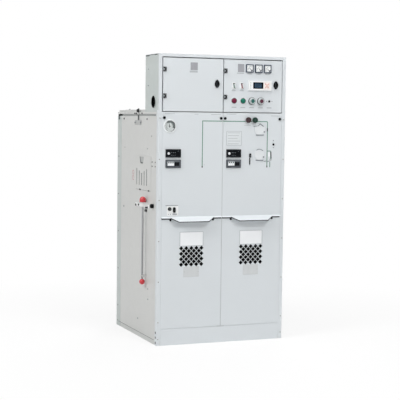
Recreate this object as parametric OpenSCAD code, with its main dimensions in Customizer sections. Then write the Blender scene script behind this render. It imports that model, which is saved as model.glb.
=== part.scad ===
// Two-unit gas insulated breaker cabinet with a low-voltage instrument box on its roof.
// Millimetres, +Z up, front towards -Y, origin on the floor at the centre of the base.

/* [Cabinet] */
// Width over the corner posts
cabinet_w = 850; // [820:5:1000]
// Depth from the front panels to the rear panel
cabinet_d = 800; // [700:5:1000]
// Height from the floor to the roof deck
body_h = 1445; // [1400:5:1600]
// Thickness of the folded sheet metal
sheet_t = 2; // [1.5:0.5:3]
// Joint line left between fixed panels
panel_gap = 3; // [2:0.5:4]

/* [Posts and rails] */
// Face width of a front post
post_face = 23; // [18:1:30]
// Side width of a front post
post_side = 30; // [25:1:45]
// Side width of a rear post
rear_side = 80; // [60:1:110]
// Face width of a rear post
rear_face = 40; // [30:1:60]
// Width of the ledge that a panel edge is riveted to
ledge_w = 17; // [12:1:22]
// Width of the post behind the middle seam
centre_w = 50; // [40:1:60]
// Depth of the centre post and of the rails
channel_d = 24; // [18:1:30]
// Height of a front rail
rail_h = 42; // [30:1:55]

/* [Base and roof] */
// Height of the base ring
base_h = 30; // [25:1:45]
// Thickness of the base ring
base_t = 4; // [3:0.5:6]
// Width of the floor flange
flange_w = 46; // [40:1:60]
// Diameter of a floor anchor hole
anchor_d = 14; // [11:0.5:18]
// Height of the plinth panel
plinth_h = 100; // [80:5:120]
// Height of the turned-down roof rim
rim_h = 24; // [20:1:45]
// Slot between the roof rim and the side panels
rim_slot = 13; // [5:0.5:16]
// Height of the set-back band above the rim's ledge
band_h = 12; // [8:1:16]
// Set-back of that band
band_in = 8; // [5:1:12]
// Drop from the roof deck to the top of the front panels
roof_step = 13; // [10:1:16]
// Inset of the cover plate on the roof
lid_inset = 40; // [30:1:60]
// Thickness of the cover plate on the roof
lid_h = 3; // [2:0.5:8]

/* [Mechanism panels] */
// Height of a mechanism panel down to its fold
mech_h = 639; // [600:1:660]
// Angle of the bent lip from the vertical
lip_angle = 57; // [45:1:70]
// Length of the lip along its straight stretches
lip_edge = 14; // [10:1:20]
// Length of the hand tongue in the middle of the lip
tongue_len = 53; // [40:1:65]
// Width of the tongue where it leaves the lip
tongue_root_w = 282; // [240:1:300]
// Width of the tongue at its tip
tongue_tip_w = 196; // [150:1:220]
// Opening between the lip fold and the cable cover
cover_slot = 15; // [12:1:20]

/* [Cable covers] */
// Side of a diamond vent hole
vent_side = 19.5; // [12:0.5:20.5]
// Pitch of the vent holes
vent_pitch = 33.4; // [30:0.2:36]
// Holes in a long row
vent_cols = 5; // [3:1:7]
// Rows of holes, long and short in turn
vent_rows = 7; // [3:2:9]
// Drop from the top of the cover to the middle of the vent
vent_drop = 231; // [200:1:260]
// Border of the dust screen round the vent
screen_border = 14; // [8:1:20]
// Thickness of the dust screen
screen_t = 1; // [0.5:0.5:2]

/* [Instrument box] */
// Height of the instrument box
lv_h = 340; // [320:5:420]
// Depth of the instrument box
lv_d = 243; // [220:1:320]
// Height of the strip over the doors
head_h = 19; // [15:1:25]
// Gap round each door
door_gap = 6; // [5:0.5:8]
// Depth of the folded door pan
door_d = 20; // [16:1:25]
// Room behind a closed door
door_rear_gap = 6; // [5:0.5:8]
// Width of the door mullion
mullion_w = 30; // [24:1:40]
// Diameter of the cable hole in the left side
cable_hole_d = 68; // [50:1:80]
// Height of the cable hole above the roof deck
cable_hole_rise = 48; // [45:1:70]
// Distance of the cable hole behind the front
cable_hole_back = 80; // [70:1:120]
// Bore of the cable grommet
grommet_bore_d = 54; // [35:1:60]

/* [Door hinges and locks] */
// Height of a hinge
hinge_h = 28; // [24:1:40]
// Width of a hinge leaf
hinge_w = 21; // [18:1:30]
// Thickness of a hinge leaf
hinge_t = 4; // [3:0.5:5]
// Radius of a hinge knuckle
knuckle_r = 4; // [3.5:0.5:5]
// Distance of the hinge axis in front of the door face
knuckle_out = 5; // [5:0.5:7]
// Radius of a hinge pin
pin_r = 2; // [1.5:0.1:2.5]
// Drop from the door's top edge to the upper hinge
hinge_drop = 70; // [50:1:90]
// Rise from the door's bottom edge to the lower hinge
hinge_rise = 92; // [60:1:110]
// Height of an oval lock plate
lock_h = 51; // [40:1:60]
// Width of an oval lock plate
lock_w = 30; // [24:1:36]
// Inset of a lock from the door's free edge
lock_inset = 41; // [35:1:60]

/* [Door instruments] */
// Side of a square panel meter
meter_s = 50; // [40:1:56]
// Pitch of the meters
meter_pitch = 61; // [58:1:70]
// Offset of the first meter from the hinge edge
meter_x = 171; // [160:1:180]
// Drop of the meters from the door's top edge
meter_drop = 51; // [45:1:60]
// Width of the relay's face plate
relay_w = 160; // [140:1:170]
// Height of the relay's face plate
relay_h = 64; // [56:1:70]
// Depth of the relay's case behind the door
relay_d = 70; // [50:1:90]
// Gap between the relay and the lock
relay_gap = 14; // [8:1:20]
// Drop of the relay from the door's top edge
relay_drop = 156; // [145:1:165]
// Offset of the first lamp or button from the hinge edge
row_x = 69; // [60:1:75]
// Pitch of the lamps and buttons
row_pitch = 60; // [52:1:64]
// Drop of the lamps and buttons from the door's top edge
row_drop = 253; // [240:1:265]
// Diameter of a signal lamp
lamp_d = 34; // [28:1:40]
// Diameter of the holes for lamps and buttons
device_hole_d = 22; // [20:0.5:24]
// Diameter of a button bezel
bezel_d = 42; // [38:1:46]
// Diameter of a door button cap
cap_d = 29; // [26:1:31]
// Travel of a door button
door_button_travel = 4; // [3:0.5:5]

/* [Panel instruments] */
// Diameter of the gas pressure gauge bezel
gauge_d = 84; // [70:1:90]
// Offset of the gauge from the panel's left edge
gauge_x = 50; // [46:1:70]
// Drop of the gauge from the panel's top edge
gauge_drop = 86; // [80:1:120]
// Depth of the gauge recess
gauge_recess = 14; // [8:1:20]
// Width of an indicator bezel
ind_w = 98; // [90:1:104]
// Height of an indicator bezel
ind_h = 50; // [44:1:54]
// Offset of the indicators from the panel's left edge
ind_x = 72; // [68:1:90]
// Drop of the fault indicators from the panel's top edge
fault_drop = 251; // [240:1:265]
// Drop of the voltage indicators from the panel's top edge
volt_drop = 315; // [305:1:330]
// Diameter of a mechanism push button
push_d = 34; // [30:1:38]
// Offset of the first push button from the panel's left edge
push_x = 166; // [150:1:175]
// Pitch of the push buttons
push_pitch = 45; // [42:1:55]
// Drop of the push buttons from the panel's top edge
push_drop = 43; // [38:1:44]
// Travel of a mechanism push button
push_travel = 5; // [3:0.5:6]
// Offset of the operating holes from the panel's left edge
drive_x = 248; // [235:1:260]
// Drop of the breaker operating hole
breaker_drop = 102; // [98:1:112]
// Drop of the earthing operating hole
earth_drop = 260; // [250:1:275]
// Diameter of an operating hole
drive_hole_d = 30; // [24:1:36]

/* [Left side] */
// Diameter of the operating lever's rod
lever_d = 12; // [10:1:16]
// Length of the rod between its grips
lever_len = 510; // [440:1:560]
// Gap between the lever and the vent plate above it
lever_gap = 34; // [10:1:60]
// Distance of the lever behind the front
lever_back = 200; // [150:1:300]
// Distance of the rod's axis from the side panel
lever_out = 26; // [24:1:34]
// Diameter of the ball grip
ball_d = 36; // [30:1:40]
// Width of the side vent plate
vent_plate_w = 291; // [240:1:320]
// Height of the side vent plate
vent_plate_h = 217; // [200:1:260]
// Slots in the side vent plate
slot_count = 5; // [3:1:7]
// Width of a lifting lug's foot
lug_w = 120; // [80:1:140]
// Height of a lifting lug's foot
lug_h = 30; // [20:1:50]
// Width of a lifting lug's strap
strap_w = 20; // [14:1:30]
// Thickness of a lifting lug
lug_t = 4; // [3:0.5:8]
// Length of the strap below the roof rim
lug_drop = 69; // [45:1:80]
// Distance of the lifting lugs behind the front
lug_back = 376; // [300:1:450]

/* [Hidden] */
$fn = 48;

// Paint and trim colours
front_grey = "#d9dddf";
side_grey = "#cbcccb";
steel = "#b9bcbe";
black = "#1c1f21";
red = "#a8232e";
green = "#1c8a5c";
pale = "#eef0f0";

// Clearance of stems and cut-outs, running clearance of a pin, and overshoot of a cut
slip = 0.25;
pin_slip = 0.08;
over = 1;

// Main planes
hw = cabinet_w / 2;
hd = cabinet_d / 2;
front_y = -hd;
skin_y = front_y + sheet_t;
inner_x = hw - post_face;
panel_w = inner_x - 1.5 * panel_gap;
panel_top = body_h - roof_step;
mech_z0 = panel_top - mech_h;
cover_z0 = plinth_h + panel_gap;
cover_z1 = mech_z0 - cover_slot;
deck_z = body_h - sheet_t;
rim_z0 = deck_z - rim_h;
ledge_z = deck_z - band_h;
side_z1 = rim_z0 - rim_slot;
side_y0 = front_y + post_side + panel_gap;
base_x = hw - sheet_t;
base_y = hd - sheet_t;
anchor_x = base_x - flange_w / 2;
anchor_y = base_y - flange_w / 2;

// Planes of the instrument box
lv_top_z = body_h + lv_h;
lv_back_y = front_y + lv_d;
head_z = lv_top_z - head_h;
stop_y = front_y + door_d + door_rear_gap;
door_w = inner_x - 1.5 * door_gap;
door_z0 = panel_top + door_gap - 1;
door_z1 = head_z - door_gap;

// Left edge of a front panel and of a door: 0 is the left one, 1 the right one
function panel_x0(i) = i == 0 ? -inner_x + panel_gap : panel_gap / 2;
function door_x0(i) = i == 0 ? -inner_x + door_gap : door_gap / 2;
function hinge_x(i) = door_x0(i) + knuckle_r;
hinge_y = front_y - knuckle_out;
hinge_zs = [door_z0 + hinge_rise, door_z1 - hinge_drop];

// Box between two corners, given as ranges along X, Y and Z
module block(x, y, z) {
    translate([x[0], y[0], z[0]])
        cube([x[1] - x[0], y[1] - y[0], z[1] - z[0]]);
}

// Box centred on a point of the front, from one depth to another
module face_block(x, z, w, h, y0, y1) {
    block([x - w / 2, x + w / 2], [y0, y1], [z - h / 2, z + h / 2]);
}

// Cylinder along Y at a point of the front
module face_rod(x, z, d, y0, y1) {
    translate([x, y0, z]) rotate([-90, 0, 0]) cylinder(d = d, h = y1 - y0);
}

// Repeats a left-hand shape on the right
module both_sides() {
    children();
    mirror([1, 0, 0]) children();
}

// Floor ring of folded angle with anchor holes in its flange
module base_frame() {
    color(side_grey) difference() {
        block([-base_x, base_x], [-base_y, base_y], [0, base_h]);
        block([-base_x + base_t, base_x - base_t], [-base_y + base_t, base_y - base_t],
              [base_t, base_h + over]);
        block([-base_x + flange_w, base_x - flange_w], [-base_y + flange_w, base_y - flange_w],
              [-over, base_t + over]);
        for (sx = [-1, 1], sy = [-1, 1])
            translate([sx * anchor_x, sy * anchor_y, -over])
                cylinder(d = anchor_d, h = base_t + 2 * over);
    }
}

// Front corner post: an outer angle with ledges behind the panel edges
module front_post() {
    color(front_grey) {
        block([-hw, -inner_x], [front_y, skin_y], [0, deck_z]);
        block([-hw, -hw + sheet_t], [front_y, front_y + post_side], [0, deck_z]);
        block([-hw + sheet_t, -inner_x + ledge_w], [skin_y, skin_y + sheet_t],
              [base_h, panel_top]);
        block([-hw + sheet_t, -hw + 2 * sheet_t], [skin_y, front_y + post_side + ledge_w],
              [base_h, ledge_z - sheet_t]);
    }
}
module front_left_post() front_post();
module front_right_post() mirror([1, 0, 0]) front_post();

// Rear corner post, its ledges carried up to the roof's ledge
module rear_post() {
    color(side_grey) {
        block([-hw, -hw + sheet_t], [hd - rear_side, hd], [0, side_z1]);
        block([-hw, -hw + rear_face], [hd - sheet_t, hd], [0, side_z1]);
        block([-hw + sheet_t, -hw + 2 * sheet_t],
              [hd - rear_side - ledge_w, hd - sheet_t], [base_h, ledge_z - sheet_t]);
        block([-hw + sheet_t, -hw + rear_face + ledge_w],
              [hd - 2 * sheet_t, hd - sheet_t], [base_h, ledge_z - sheet_t]);
    }
}
module rear_left_post() rear_post();
module rear_right_post() mirror([1, 0, 0]) rear_post();

// Channel behind the seam of the front panels
module front_centre_post() {
    z = [base_h, panel_top - sheet_t - rail_h];
    color(side_grey) {
        block([-centre_w / 2, centre_w / 2], [skin_y, skin_y + sheet_t], z);
        both_sides() block([-centre_w / 2, -centre_w / 2 + sheet_t], [skin_y, skin_y + channel_d], z);
    }
}

// Angle rails under the roof, relieved round the push buttons, and behind the panel joint
module front_rails() {
    ledge_x = inner_x - ledge_w;
    top_z1 = panel_top - sheet_t;
    mid_z1 = cover_z1 - panel_gap;
    color(side_grey) {
        difference() {
            block([-ledge_x, ledge_x], [skin_y, skin_y + sheet_t], [top_z1 - rail_h, top_z1]);
            for (k = [0, 1])
                face_rod(push_at(k), push_z, push_disc_d + 2 * push_room,
                         skin_y - over, skin_y + sheet_t + over);
        }
        block([-ledge_x, ledge_x], [skin_y, stop_y + sheet_t], [top_z1 - sheet_t, top_z1]);
        both_sides() {
            block([-ledge_x, -centre_w / 2], [skin_y, skin_y + sheet_t], [mid_z1 - rail_h, mid_z1]);
            block([-ledge_x, -centre_w / 2], [skin_y, skin_y + channel_d],
                  [mid_z1 - sheet_t, mid_z1]);
        }
    }
}

// Side sheet between the front and rear posts
module side_panel() {
    color(side_grey)
        block([-hw, -hw + sheet_t],
              [side_y0, hd - rear_side - panel_gap], [base_h, side_z1]);
}
module left_side_panel() side_panel();
module right_side_panel() mirror([1, 0, 0]) side_panel();

// Sheet closing the back between the rear posts
module rear_panel() {
    half = hw - rear_face - panel_gap;
    color(side_grey) block([-half, half], [hd - sheet_t, hd], [base_h, side_z1]);
}

// Roof deck on a set-back band, with a ledge and rim below it and an apron behind the doors
module top_cover() {
    in_x = hw - band_in;
    in_y = hd - band_in;
    ledge = [ledge_z - sheet_t, ledge_z];
    color(side_grey) {
        block([-in_x, in_x], [stop_y, in_y], [deck_z, body_h]);
        both_sides() {
            block([-in_x, -in_x + sheet_t], [side_y0, in_y], [ledge[0], deck_z]);
            block([-hw, -in_x], [side_y0, hd], ledge);
            block([-hw, -hw + sheet_t], [side_y0, hd], [rim_z0, ledge[0]]);
        }
        block([-in_x, in_x], [in_y - sheet_t, in_y], [ledge[0], deck_z]);
        block([-in_x, in_x], [in_y, hd], ledge);
        block([-hw, hw], [hd - sheet_t, hd], [rim_z0, ledge[0]]);
        block([-inner_x, inner_x], [stop_y, stop_y + sheet_t], [panel_top - sheet_t, deck_z]);
    }
}

// Cover plate on the roof behind the instrument box
module roof_lid() {
    half = hw - lid_inset;
    color(side_grey) block([-half, half], [lv_back_y + lid_inset, hd - lid_inset],
                           [body_h, body_h + lid_h]);
}

// Bent lip of a mechanism panel: a straight edge with a hand tongue in its middle
module panel_lip() {
    translate([0, front_y, mech_z0]) rotate([-lip_angle, 0, 0]) mirror([0, 0, 1])
        translate([0, sheet_t, 0]) rotate([90, 0, 0]) linear_extrude(sheet_t)
            polygon([
                [-panel_w / 2, 0], [panel_w / 2, 0], [panel_w / 2, lip_edge],
                [tongue_root_w / 2, lip_edge], [tongue_tip_w / 2, tongue_len],
                [-tongue_tip_w / 2, tongue_len], [-tongue_root_w / 2, lip_edge],
                [-panel_w / 2, lip_edge]
            ]);
}

// Flat sheet of a mechanism panel with its lip and the round back of the fold between them
module mechanism_sheet(i) {
    x = [panel_x0(i), panel_x0(i) + panel_w];
    block(x, [front_y, skin_y], [mech_z0, panel_top]);
    translate([panel_x0(i) + panel_w / 2, 0, 0]) panel_lip();
    intersection() {
        translate([x[0], front_y, mech_z0]) rotate([0, 90, 0]) cylinder(r = sheet_t, h = panel_w);
        block(x, [front_y, skin_y], [mech_z0 - sheet_t, mech_z0]);
    }
}

// Cut-outs that both mechanism panels have for their two indicators
module indicator_holes(i) {
    for (drop = [fault_drop, volt_drop])
        face_block(panel_x0(i) + ind_x, panel_top - drop, ind_body_w + 2 * slip,
                   ind_body_h + 2 * slip, front_y - over, skin_y + over);
}

module left_mechanism_panel() {
    color(front_grey) difference() {
        mechanism_sheet(0);
        indicator_holes(0);
        face_rod(panel_x0(0) + gauge_x, panel_top - gauge_drop, gauge_case_d + 2 * slip,
                 front_y - over, skin_y + over);
    }
}

module right_mechanism_panel() {
    color(front_grey) difference() {
        mechanism_sheet(1);
        indicator_holes(1);
        for (k = [0, 1])
            face_rod(push_at(k), push_z, push_stem_d + 4 * slip, front_y - over, skin_y + over);
        for (drop = [breaker_drop, earth_drop])
            face_rod(panel_x0(1) + drive_x, panel_top - drop, drive_hole_d,
                     front_y - over, skin_y + over);
    }
}

// Cable cover with a field of diamond vents in offset rows
module cable_cover(i) {
    middle_x = panel_x0(i) + panel_w / 2;
    middle_z = cover_z1 - vent_drop;
    color(front_grey) difference() {
        block([panel_x0(i), panel_x0(i) + panel_w], [front_y, skin_y], [cover_z0, cover_z1]);
        for (row = [0 : vent_rows - 1]) {
            holes = vent_cols - row % 2;
            for (k = [0 : holes - 1])
                translate([middle_x + (k - (holes - 1) / 2) * vent_pitch, front_y - over,
                           middle_z + (row - (vent_rows - 1) / 2) * vent_pitch / 2])
                    rotate([-90, 45, 0]) translate([-vent_side / 2, -vent_side / 2, 0])
                        cube([vent_side, vent_side, sheet_t + 2 * over]);
        }
    }
}
module left_cable_cover() cable_cover(0);
module right_cable_cover() cable_cover(1);

// Dark screens behind the vents
module dust_screens() {
    w = vent_cols * vent_pitch + 2 * screen_border;
    h = (vent_rows + 1) * vent_pitch / 2 + 2 * screen_border;
    color(black) for (i = [0, 1])
        face_block(panel_x0(i) + panel_w / 2, cover_z1 - vent_drop, w, h,
                   skin_y, skin_y + screen_t);
}

module plinth_panel() {
    half = inner_x - panel_gap;
    color(front_grey) block([-half, half], [front_y, skin_y], [0, plinth_h]);
}

// Side sheet of the instrument box, standing on the front post and the roof's ledge
module lv_side() {
    block([-hw, -hw + sheet_t], [skin_y, lv_back_y], [deck_z, lv_top_z - sheet_t]);
    block([-hw, -hw + sheet_t], [side_y0, lv_back_y], [ledge_z, deck_z]);
}
cable_hole_y = front_y + cable_hole_back;
cable_hole_z = body_h + cable_hole_rise;

module lv_left_side() {
    color(side_grey) difference() {
        lv_side();
        translate([-hw - over, cable_hole_y, cable_hole_z]) rotate([0, 90, 0])
            cylinder(d = cable_hole_d, h = sheet_t + 2 * over);
    }
}
module lv_right_side() color(side_grey) mirror([1, 0, 0]) lv_side();

module lv_top() {
    color(front_grey)
        block([-hw, hw], [skin_y, lv_back_y], [lv_top_z - sheet_t, lv_top_z]);
}

module lv_back() {
    half = hw - sheet_t;
    color(side_grey) block([-half, half], [lv_back_y - sheet_t, lv_back_y],
                           [body_h + sheet_t, lv_top_z - sheet_t]);
}

module lv_floor() {
    half = hw - sheet_t;
    color(side_grey) block([-half, half], [stop_y, lv_back_y], [body_h, body_h + sheet_t]);
}

// Frame round the doors, with returns behind its edges
module lv_front_frame() {
    color(front_grey) {
        both_sides() {
            block([-hw, -inner_x], [front_y, skin_y], [deck_z, lv_top_z]);
            block([-inner_x - sheet_t, -inner_x], [skin_y, stop_y], [deck_z, head_z + sheet_t]);
        }
        block([-inner_x, inner_x], [front_y, skin_y], [head_z, lv_top_z]);
        block([-inner_x, inner_x], [skin_y, stop_y], [head_z, head_z + sheet_t]);
    }
}

// Channel behind the seam of the doors
module lv_mullion() {
    z = [body_h + sheet_t, lv_top_z - sheet_t];
    color(side_grey) {
        block([-mullion_w / 2, mullion_w / 2], [stop_y, stop_y + sheet_t], z);
        both_sides()
            block([-mullion_w / 2, -mullion_w / 2 + sheet_t], [stop_y, stop_y + channel_d], z);
    }
}

// Rubber ring in the cable hole
grommet_lip = 5;
module cable_grommet() {
    flange_r = cable_hole_d / 2 + grommet_lip;
    waist_r = cable_hole_d / 2 - slip;
    bore_r = grommet_bore_d / 2;
    color(black) translate([-hw, cable_hole_y, cable_hole_z]) rotate([0, 90, 0])
        rotate_extrude() polygon([
            [bore_r, -grommet_lip], [flange_r - 2, -grommet_lip], [flange_r, -grommet_lip + 2],
            [flange_r, 0], [waist_r, 0], [waist_r, sheet_t], [flange_r, sheet_t],
            [flange_r, sheet_t + 2], [flange_r - 2, sheet_t + grommet_lip],
            [bore_r, sheet_t + grommet_lip]
        ]);
}

// Fixed half of a hinge: middle knuckle, pin and an arm through the door gap
third = hinge_h / 3;
module hinge_bracket(i, z) {
    arm_x0 = i == 0 ? -inner_x : door_x0(i) - door_gap / 2;
    arm_x1 = door_x0(i) - over;
    arm_y1 = i == 0 ? stop_y - door_rear_gap : stop_y;
    arm_end = hinge_x(i) - (knuckle_r + pin_r) / 2;
    half = third / 2 - slip;
    translate([0, 0, z]) {
        translate([hinge_x(i), hinge_y, 0]) {
            cylinder(r = knuckle_r, h = 2 * half, center = true);
            cylinder(r = pin_r, h = hinge_h, center = true);
        }
        block([arm_x0, arm_end], [hinge_y - hinge_t / 2, hinge_y + hinge_t / 2], [-half, half]);
        block([arm_x0, arm_x1], [hinge_y - hinge_t / 2, arm_y1], [-half, half]);
    }
}
module hinge_brackets() {
    color(black) for (i = [0, 1], z = hinge_zs) hinge_bracket(i, z);
}

// Moving half of a hinge: two outer knuckles on a leaf
module hinge_leaf(i, z) {
    notch_x = hinge_x(i) + knuckle_r + 1.5;
    translate([0, 0, z]) difference() {
        union() {
            block([hinge_x(i), door_x0(i) + hinge_w], [front_y - hinge_t, front_y],
                  [-hinge_h / 2, hinge_h / 2]);
            translate([hinge_x(i), hinge_y, 0]) cylinder(r = knuckle_r, h = hinge_h, center = true);
        }
        block([hinge_x(i) - 2 * knuckle_r, notch_x], [hinge_y - 2 * knuckle_r, front_y + over],
              [-third / 2 - slip, third / 2 + slip]);
        translate([hinge_x(i), hinge_y, 0])
            cylinder(r = pin_r + pin_slip, h = hinge_h + 2 * over, center = true);
    }
}
module door_leaves(i) color(black) for (z = hinge_zs) hinge_leaf(i, z);
module left_door_leaves() door_leaves(0);
module right_door_leaves() door_leaves(1);

// Folded door pan, open at the back
lock_hole_d = 20;
module door_pan(i) {
    x = [door_x0(i), door_x0(i) + door_w];
    difference() {
        block(x, [front_y, front_y + door_d], [door_z0, door_z1]);
        block([x[0] + sheet_t, x[1] - sheet_t], [skin_y, front_y + door_d + over],
              [door_z0 + sheet_t, door_z1 - sheet_t]);
        face_rod(x[1] - lock_inset, lock_z, lock_hole_d + 2 * slip, front_y - over, skin_y + over);
    }
}
lock_z = (door_z0 + door_z1) / 2 + 10;

module left_door() color(front_grey) door_pan(0);

// Oval lock with its barrel and an upright cam behind the door
lock_t = 7;
lock_depth = 30;
cam_w = 14;
cam_len = 34;
cam_t = 3;
module door_lock(i) {
    x = door_x0(i) + door_w - lock_inset;
    color(black) {
        translate([x, front_y - lock_t, lock_z]) rotate([-90, 0, 0]) linear_extrude(lock_t)
            intersection() {
                oval_r = (lock_h * lock_h + lock_w * lock_w) / (4 * lock_w);
                translate([oval_r - lock_w / 2, 0]) circle(r = oval_r, $fn = 96);
                translate([lock_w / 2 - oval_r, 0]) circle(r = oval_r, $fn = 96);
            }
        face_rod(x, lock_z, lock_hole_d, front_y - slip, skin_y + lock_depth);
        block([x - cam_w / 2, x + cam_w / 2],
              [skin_y + lock_depth - slip, skin_y + lock_depth + cam_t],
              [lock_z - cam_w / 2, lock_z + cam_len]);
    }
}
module left_door_lock() door_lock(0);
module right_door_lock() door_lock(1);

// Right door with the cut-outs for its instruments
meter_z = door_z1 - meter_drop;
relay_z = door_z1 - relay_drop;
row_z = door_z1 - row_drop;
meter_body_s = meter_s - 6;
relay_x = door_w - lock_inset - lock_w / 2 - relay_gap - relay_w / 2;
relay_body_w = relay_w - 16;
relay_body_h = relay_h - 12;
function meter_at(k) = door_x0(1) + meter_x + k * meter_pitch;
function device_at(k) = door_x0(1) + row_x + k * row_pitch;

module right_door() {
    color(front_grey) difference() {
        door_pan(1);
        for (k = [0 : 2])
            face_block(meter_at(k), meter_z, meter_body_s + 2 * slip, meter_body_s + 2 * slip,
                       front_y - over, skin_y + over);
        face_block(door_x0(1) + relay_x, relay_z, relay_body_w + 2 * slip,
                   relay_body_h + 2 * slip, front_y - over, skin_y + over);
        for (k = [0 : 3])
            face_rod(device_at(k), row_z, device_hole_d + 2 * slip, front_y - over, skin_y + over);
    }
}

// Square moving-coil meters with sunk dials
meter_bezel = 4;
meter_out = 8;
meter_body_d = 45;
dial_sink = 3;
module panel_meters() {
    color(black) for (k = [0 : 2]) difference() {
        union() {
            face_block(meter_at(k), meter_z, meter_s, meter_s, front_y - meter_out, front_y);
            face_block(meter_at(k), meter_z, meter_body_s, meter_body_s,
                       front_y - slip, front_y + meter_body_d);
        }
        face_block(meter_at(k), meter_z, meter_s - 2 * meter_bezel, meter_s - 2 * meter_bezel,
                   front_y - meter_out - over, front_y - meter_out + dial_sink);
    }
}

// Protection relay: a pale face plate with a sunk screen, its case behind the door
relay_out = 8;
screen_w = 70;
screen_h = 40;
screen_x = -14;
module protection_relay() {
    x = door_x0(1) + relay_x;
    color(pale) difference() {
        union() {
            face_block(x, relay_z, relay_w, relay_h, front_y - relay_out, front_y);
            face_block(x, relay_z, relay_body_w, relay_body_h, front_y - slip, front_y + relay_d);
        }
        face_block(x + screen_x, relay_z, screen_w, screen_h,
                   front_y - relay_out - over, front_y - relay_out + dial_sink);
    }
}

// Trip links spread between the hinge and the relay: a base block with a slanting link bar
link_w = 20;
link_h = 40;
link_base_t = 6;
link_bar_t = 8;
link_bar_w = 9;
link_bar_tilt = 12;
link_drop = 160;
link_count = 2;
link_room = (relay_x - relay_w / 2 - hinge_w - link_count * link_w) / (link_count + 1);
module trip_links() {
    color(pale) for (k = [0 : link_count - 1]) {
        x = door_x0(1) + hinge_w + link_room + link_w / 2 + k * (link_w + link_room);
        z = door_z1 - link_drop;
        face_block(x, z, link_w, link_h, front_y - link_base_t, front_y);
        translate([x, 0, z]) rotate([0, link_bar_tilt, 0])
            face_block(0, 0, link_bar_w, link_h - 8, front_y - link_base_t - link_bar_t,
                       front_y - slip);
    }
}

// Signal lamp: a domed lens on a collar, its barrel and nut behind the door
lamp_collar_t = 5;
lamp_dome = 7;
barrel_d = device_hole_d;
barrel_len = 32;
nut_d = 30;
nut_t = 5;
module signal_lamp(k) {
    r = lamp_d / 2;
    translate([device_at(k), front_y, row_z]) rotate([90, 0, 0]) {
        cylinder(r = r, h = lamp_collar_t);
        translate([0, 0, lamp_collar_t]) intersection() {
            dome_r = (pow(r - 2, 2) + pow(lamp_dome, 2)) / (2 * lamp_dome);
            translate([0, 0, lamp_dome - dome_r]) sphere(r = dome_r);
            translate([0, 0, -over]) cylinder(r = r - 2, h = lamp_dome + over);
        }
    }
    face_rod(device_at(k), row_z, barrel_d, front_y - slip, front_y + barrel_len);
    face_rod(device_at(k), row_z, nut_d, skin_y, skin_y + nut_t);
}
module red_lamp() color(red) signal_lamp(0);
module green_lamp() color(green) signal_lamp(1);

// Bright rings, barrels and nuts that carry the door buttons
bezel_out = 9;
bezel_bore_d = cap_d + 2;
stem_d = 12;
module button_bezels() {
    color(steel) for (k = [2, 3]) difference() {
        union() {
            face_rod(device_at(k), row_z, bezel_d, front_y - bezel_out, front_y);
            face_rod(device_at(k), row_z, barrel_d, front_y - slip, front_y + barrel_len);
            face_rod(device_at(k), row_z, nut_d, skin_y, skin_y + nut_t);
        }
        face_rod(device_at(k), row_z, bezel_bore_d, front_y - bezel_out - over, front_y - 2);
        face_rod(device_at(k), row_z, stem_d + 4 * slip, front_y - bezel_out,
                 front_y + barrel_len + over);
    }
}

// Door button: a cap on a stem that passes through its barrel to a retaining disc
cap_t = 12;
disc_d = 18;
disc_t = 3;
module door_button(k) {
    cap_y1 = front_y - 2 - door_button_travel - over;
    face_rod(device_at(k), row_z, cap_d, cap_y1 - cap_t, cap_y1);
    face_rod(device_at(k), row_z, stem_d, cap_y1 - over, front_y + barrel_len + over);
    face_rod(device_at(k), row_z, disc_d, front_y + barrel_len, front_y + barrel_len + disc_t);
}
module green_door_button() color(green) door_button(2);
module red_door_button() color(red) door_button(3);

// Gas pressure gauge: a turned case with its dial deep inside the bezel
gauge_case_d = gauge_d - 12;
gauge_bezel_t = 4;
gauge_case_len = 40;
gauge_wall = 2;
module pressure_gauge() {
    bezel_r = gauge_d / 2;
    case_r = gauge_case_d / 2;
    color(pale) translate([panel_x0(0) + gauge_x, front_y, panel_top - gauge_drop])
        rotate([-90, 0, 0]) rotate_extrude() polygon([
            [0, gauge_recess], [case_r - gauge_wall, gauge_recess],
            [case_r - gauge_wall, -gauge_bezel_t + 1], [case_r, -gauge_bezel_t],
            [bezel_r - 2, -gauge_bezel_t], [bezel_r, -gauge_bezel_t + 2], [bezel_r, 0],
            [case_r, 0], [case_r, gauge_case_len], [0, gauge_case_len]
        ]);
}

// Indicators of both units: a bezel, its sunk face and the case behind the panel
ind_body_w = ind_w - 8;
ind_body_h = ind_h - 8;
ind_out = 7;
ind_depth = 50;
ind_sink = 2;
ind_border = 4;
module indicator(i, drop) {
    x = panel_x0(i) + ind_x;
    z = panel_top - drop;
    difference() {
        union() {
            face_block(x, z, ind_w, ind_h, front_y - ind_out, front_y);
            face_block(x, z, ind_body_w, ind_body_h, front_y - slip, front_y + ind_depth);
        }
        face_block(x, z, ind_w - 2 * ind_border, ind_h - 2 * ind_border,
                   front_y - ind_out - over, front_y - ind_out + ind_sink);
    }
}
module fault_indicators() color(black) for (i = [0, 1]) indicator(i, fault_drop);
module voltage_indicators() color("#4a4f53") for (i = [0, 1]) indicator(i, volt_drop);

// Mechanism push button: a head on a stem, held by a disc behind the panel
push_head_t = 11;
push_stem_d = 15;
push_disc_d = 24;
push_room = 6;
push_z = panel_top - push_drop;
function push_at(k) = panel_x0(1) + push_x + k * push_pitch;
module mechanism_button(k) {
    head_y1 = front_y - push_travel - over;
    face_rod(push_at(k), push_z, push_d, head_y1 - push_head_t, head_y1);
    face_rod(push_at(k), push_z, push_stem_d, head_y1 - over, skin_y + over);
    face_rod(push_at(k), push_z, push_disc_d, skin_y, skin_y + disc_t);
}
module close_push_button() color(red) mechanism_button(0);
module open_push_button() color(green) mechanism_button(1);

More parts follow.
